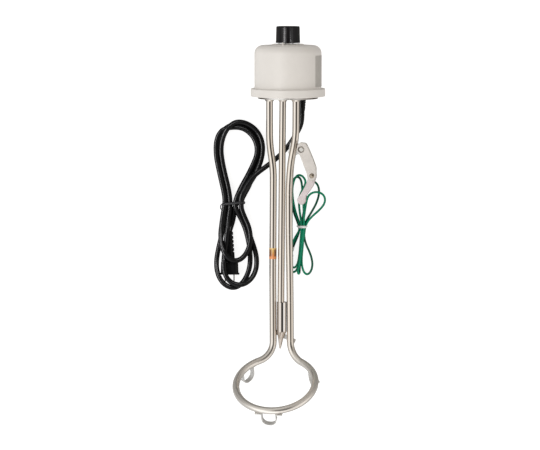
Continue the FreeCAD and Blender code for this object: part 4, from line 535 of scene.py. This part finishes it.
def band_material():
    """plain printed sleeve: yellow-orange, redder towards its lower end, with painted shade in dark brown along both
    sides
    """
    m, nt, bs = new_mat("mat_band_orange")
    lo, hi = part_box("level_band")
    tc = nt.nodes.new("ShaderNodeTexCoord")
    sep = nt.nodes.new("ShaderNodeSeparateXYZ")
    nt.links.new(tc.outputs["Object"], sep.inputs["Vector"])
    along = nt.nodes.new("ShaderNodeMapRange")
    along.inputs["From Min"].default_value, along.inputs["From Max"].default_value = lo.y, hi.y
    nt.links.new(sep.outputs["Y"], along.inputs["Value"])
    side = nt.nodes.new("ShaderNodeMapRange")
    side.inputs["From Min"].default_value, side.inputs["From Max"].default_value = lo.x, hi.x
    nt.links.new(sep.outputs["X"], side.inputs["Value"])
    body = ramp(nt, along.outputs["Result"], [(0.0, (0.80, 0.30, 0.10)), (0.3, (0.78, 0.27, 0.08)), (0.6, (0.75, 0.42, 0.11)),
                                              (1.0, (0.85, 0.60, 0.22))])
    # painted shade: both sides of the sleeve are painted dark brown, fading out near its top and bottom
    flank = ramp(nt, side.outputs["Result"], [(0.0, (0.7, 0.7, 0.7)), (0.16, (1, 1, 1)), (0.34, (0.5, 0.5, 0.5)), (0.46, (0, 0, 0)),
                                              (0.56, (0, 0, 0)), (0.70, (0.7, 0.7, 0.7)), (0.84, (1, 1, 1)), (1.0, (0.8, 0.8, 0.8))])
    mid = ramp(nt, along.outputs["Result"], [(0.0, (0, 0, 0)), (0.18, (0.05, 0.05, 0.05)), (0.28, (1, 1, 1)), (0.74, (1, 1, 1)),
                                             (0.9, (0.1, 0.1, 0.1)), (1.0, (0, 0, 0))])
    f = mix_col(nt, 1.0, flank, mid, "MULTIPLY")
    c = mix_col(nt, f, body, (0.16, 0.05, 0.012))
    v = coords(nt)
    c = mix_col(nt, ramp(nt, noise(nt, v, 700.0, 3.0), [(0.5, (0, 0, 0)), (0.8, (0.3, 0.3, 0.3))]), c, (0.55, 0.3, 0.1))
    nt.links.new(c, bs.inputs["Base Color"])
    bs.inputs["Roughness"].default_value = 0.3
    bs.inputs["Coat Weight"].default_value = 0.5
    bs.inputs["Coat Roughness"].default_value = 0.15
    bump(nt, bs, noise(nt, v, 500.0, 3.0), 0.2, 0.00003)
    return m


M["band_orange"] = band_material()


def rim_steel():
    """plate whose bright rim carries painted reflection: painted dark towards both ends"""
    m = metal("mat_rim_steel", (0.86, 0.84, 0.81), 0.3, (1, 6, 1), 220.0, 0.00001)
    nt = m.node_tree
    bs = nt.nodes["Principled BSDF"]
    bs.inputs["Metallic"].default_value = 0.6
    was = bs.inputs["Base Color"].links[0].from_socket
    lo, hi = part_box("base_plate")
    xyz = nt.nodes.new("ShaderNodeSeparateXYZ")
    nt.links.new(coords(nt), xyz.inputs["Vector"])
    f = span(nt, xyz.outputs["X"], 0.0, 1.0, lo.x, hi.x)
    # painted reflection: the polished rim is painted dark towards both ends, where it turns to reflect darker
    # surroundings
    ends = ramp(nt, f, [(0.10, (1, 1, 1)), (0.22, (0.1, 0.1, 0.1)), (0.30, (0, 0, 0)), (0.62, (0, 0, 0)), (0.76, (0.7, 0.7, 0.7)), (0.90, (1, 1, 1))])
    nt.links.new(mix_col(nt, ends, was, (0.12, 0.09, 0.07)), bs.inputs["Base Color"])
    return m

slots = {}
for s in frame["record"]["subparts"]:
    slots[s["node"]] = s["material_slot"]


def paint(ob, mat):
    if not ob.data.materials:
        ob.data.materials.append(mat)
    for k in range(len(ob.material_slots)):
        ob.material_slots[k].material = mat


for n, ob in nodes.items():
    paint(ob, M[slots[n]])
paint(nodes["hook_arm_lower"], hook_low)
paint(nodes["sensor_pocket"], pocket_steel)
for n in ("foot_front", "foot_left", "foot_right", "stay_strap"):
    paint(nodes[n], foot_steel)
paint(nodes["base_plate"], rim_steel())

# ---------------------------------------------------------------- cords
paint(power, M["cord_black"])
paint(earth, M["wire_green"])
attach(power, "heater")
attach(earth, "heater")
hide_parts("power_cord_lead", "power_cord_hank")
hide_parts("earth_wire_lead", "earth_wire_hank")


# ---------------------------------------------------------------- ties
def tie_section(w, t, ridge):
    """flat strip with a wire down its middle, as (along, outwards)"""
    return [(-w / 2, 0), (-w / 2, t), (-w * 0.2, t), (-w * 0.1, t + ridge), (w * 0.1, t + ridge), (w * 0.2, t), (w / 2, t), (w / 2, 0)]


Y = Vector((0, 1, 0))
cy = 0.0313
cs = [c for c in crossings(power_line, cy) if c[0] < 0]
print("strands through the cord tie", len(cs))
ring = loop_round(cs, POWER_D / 2 + 0.0001, cy, 120, tilt=0.10, floor=0.0014)
band = sweep("cord_tie_band", ring, [(u, -v) for u, v in tie_section(0.0036, 0.0006, 0.0007)], Y, True)
left = min(ring, key=lambda p: p.x)
right = max(ring, key=lambda p: p.x)
tail = soft_tube("cord_tie_tail", [left + Vector(d) for d in ((0.0010, 0.0006, 0.0010), (-0.0012, -0.0002, 0.0014), (-0.0026, -0.0024, 0.0012),
                                                              (-0.0024, -0.0058, 0.0008), (-0.0002, -0.0082, 0.0010), (0.0026, -0.0078, 0.0022))], 0.0008)
nub = soft_tube("cord_tie_nub", [right + Vector(d) for d in ((-0.0012, 0.0010, 0.0010), (0.0006, 0.0008, 0.0008), (0.0012, -0.0008, 0.0002),
                                                             (0.0002, -0.0022, -0.0006))], 0.0010)
cord_tie = join("cord_twist_tie", [band, tail, nub])
paint(cord_tie, M["tie_black"])
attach(cord_tie, "heater")
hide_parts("cord_tie")

ey = (225 - 227.0) * 1.4375e-3 + 0.0001
es = [c for c in crossings(earth_line, ey) if c[0] > 0.022]
print("strands through the earth tie", len(es))
ering = loop_round(es, EARTH_D / 2 + 0.00005, ey, 100, tilt=-0.02, floor=0.0009)
eband = sweep("earth_tie_band", ering, [(u, -v) for u, v in tie_section(0.0034, 0.0005, 0.0003)], Y, True)
el, er = min(ering, key=lambda p: p.x), max(ering, key=lambda p: p.x)
etail = soft_tube("earth_tie_tail", [el + Vector(d) for d in ((0.0012, 0.0002, 0.0012), (-0.0006, 0.0004, 0.0014), (-0.0016, 0.0010, 0.0006), (-0.0012, 0.0016, -0.0006))], 0.0007)
etail2 = soft_tube("earth_tie_tail2", [er + Vector(d) for d in ((-0.0010, 0.0, 0.0010), (0.0008, 0.0006, 0.0012), (0.0018, 0.0012, 0.0004))], 0.0007)
earth_tie = join("earth_twist_tie", [eband, etail, etail2])
paint(earth_tie, M["tie_white"])
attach(earth_tie, "heater")
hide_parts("earth_tie")

# ---------------------------------------------------------------- floor, light
fm, fnt, fbs = new_mat("mat_floor")
fbs.inputs["Roughness"].default_value = 0.9
fbs.inputs["Specular IOR Level"].default_value = 0.1
fbs.inputs["Emission Color"].default_value = (1, 1, 1, 1)
fbs.inputs["Emission Strength"].default_value = 0.86
fnt.links.new(ramp(fnt, noise(fnt, coords(fnt), 3.0, 2.0), [(0.3, (0.54, 0.54, 0.54)), (0.7, (0.56, 0.56, 0.56))]), fbs.inputs["Base Color"])
floor = mesh_object("floor", [(-4, -4, -0.0002), (4, -4, -0.0002), (4, 4, -0.0002), (-4, 4, -0.0002)], [(0, 1, 2, 3)], False)
paint(floor, fm)
floor.visible_glossy = False

world = bpy.data.worlds.new("studio")
scene.world = world
world.use_nodes = True
wt = world.node_tree
bg = wt.nodes["Background"]
tc = wt.nodes.new("ShaderNodeTexCoord")
sp = wt.nodes.new("ShaderNodeSeparateXYZ")
wt.links.new(tc.outputs["Generated"], sp.inputs["Vector"])
mr = wt.nodes.new("ShaderNodeMapRange")
mr.inputs["From Min"].default_value, mr.inputs["From Max"].default_value = -1.0, 1.0
lean = wt.nodes.new("ShaderNodeMapping")
lean.inputs["Rotation"].default_value = (0, math.radians(-10), 0)
wt.links.new(tc.outputs["Generated"], lean.inputs["Vector"])
sp2 = wt.nodes.new("ShaderNodeSeparateXYZ")
wt.links.new(lean.outputs["Vector"], sp2.inputs["Vector"])
wt.links.new(sp2.outputs["Z"], mr.inputs["Value"])


def lev(v, warm=0.0):
    return (v * (1 + warm), v, v * (1 - warm))


sky = ramp(wt, mr.outputs["Result"], [(0.0, lev(0.42)), (0.354, lev(0.42)), (0.50, lev(0.62)), (0.60, lev(0.86)), (0.68, lev(1.22)), (0.84, lev(1.22)),
                                      (0.90, lev(0.98)), (0.935, lev(0.78)), (0.960, lev(0.42, 0.05)), (0.976, lev(0.10, 0.1)), (0.985, lev(0.03, 0.1)), (1.0, lev(0.03, 0.1))])
lr = wt.nodes.new("ShaderNodeMapRange")
lr.inputs["From Min"].default_value, lr.inputs["From Max"].default_value = -1.0, 1.0
wt.links.new(sp.outputs["X"], lr.inputs["Value"])
sides = ramp(wt, lr.outputs["Result"], [(0.0, (1.0, 1.0, 1.0)), (0.47, (1.0, 1.0, 0.99)), (0.57, (0.78, 0.76, 0.74)), (0.80, (0.66, 0.64, 0.62)), (1.0, (0.80, 0.77, 0.74))])
fb = wt.nodes.new("ShaderNodeMapRange")
fb.inputs["From Min"].default_value, fb.inputs["From Max"].default_value = -1.0, 1.0
wt.links.new(sp.outputs["Y"], fb.inputs["Value"])
front = ramp(wt, fb.outputs["Result"], [(0.0, (1.12, 1.12, 1.12)), (0.48, (1.04, 1.04, 1.04)), (0.56, (0.92, 0.92, 0.90)), (0.66, (0.55, 0.54, 0.52)), (1.0, (0.45, 0.44, 0.42))])
wt.links.new(mix_col(wt, 1.0, mix_col(wt, 1.0, sky, sides, "MULTIPLY"), front, "MULTIPLY"), bg.inputs["Color"])
bg.inputs["Strength"].default_value = 1.0


def panel(name, loc, size, size_y, power, col):
    d = bpy.data.lights.new(name, "AREA")
    d.shape = "RECTANGLE"
    d.size, d.size_y = size, size_y
    d.energy = power
    d.color = col
    o = bpy.data.objects.new(name, d)
    scene.collection.objects.link(o)
    o.location = loc
    o.rotation_euler = (Vector((0, 0, 0)) - Vector(loc)).to_track_quat("-Z", "Y").to_euler()
    return o


def only(light, names):
    """this light falls on these pieces and not on the polished metal"""
    col = bpy.data.collections.new(light.name + "_lit")
    for n in names:
        col.objects.link(nodes[n] if isinstance(n, str) else n)
    light.light_linking.receiver_collection = col


dark = [power, cord_tie, "plug_boot", "plug_body", "cord_gland"]
soft = ["head_cap", "dial_ring", "rating_plate", "hook_arm_upper", "hook_arm_lower", "level_band", earth, earth_tie]
only(panel("strip_left", (-1.60, 0.0, 1.25), 2.2, 0.42, 80, (1.0, 1.0, 1.0)), dark)
only(panel("strip_top", (0.0, 1.10, 1.70), 1.6, 0.40, 28, (1.0, 1.0, 1.0)), dark)
only(panel("soft_left", (-0.95, 0.2, 1.80), 1.8, 0.9, 16, (1.0, 0.99, 0.98)), soft)
only(panel("soft_right", (1.25, 0.2, 1.35), 1.4, 0.9, 3, (1.0, 0.98, 0.95)), ["head_cap", "dial_ring", "rating_plate"])
only(panel("knob_key", (-0.93, -0.1, 1.48), 1.2, 0.10, 32, (1.0, 0.98, 0.99)), ["knob"])
only(panel("knob_right", (1.02, -0.1, 1.35), 1.2, 0.45, 5, (1.0, 0.97, 0.98)), ["knob"])

for ob in scene.objects:
    if ob.type == "MESH" and ob.name.startswith("tmp"):
        print("left over", ob.name)
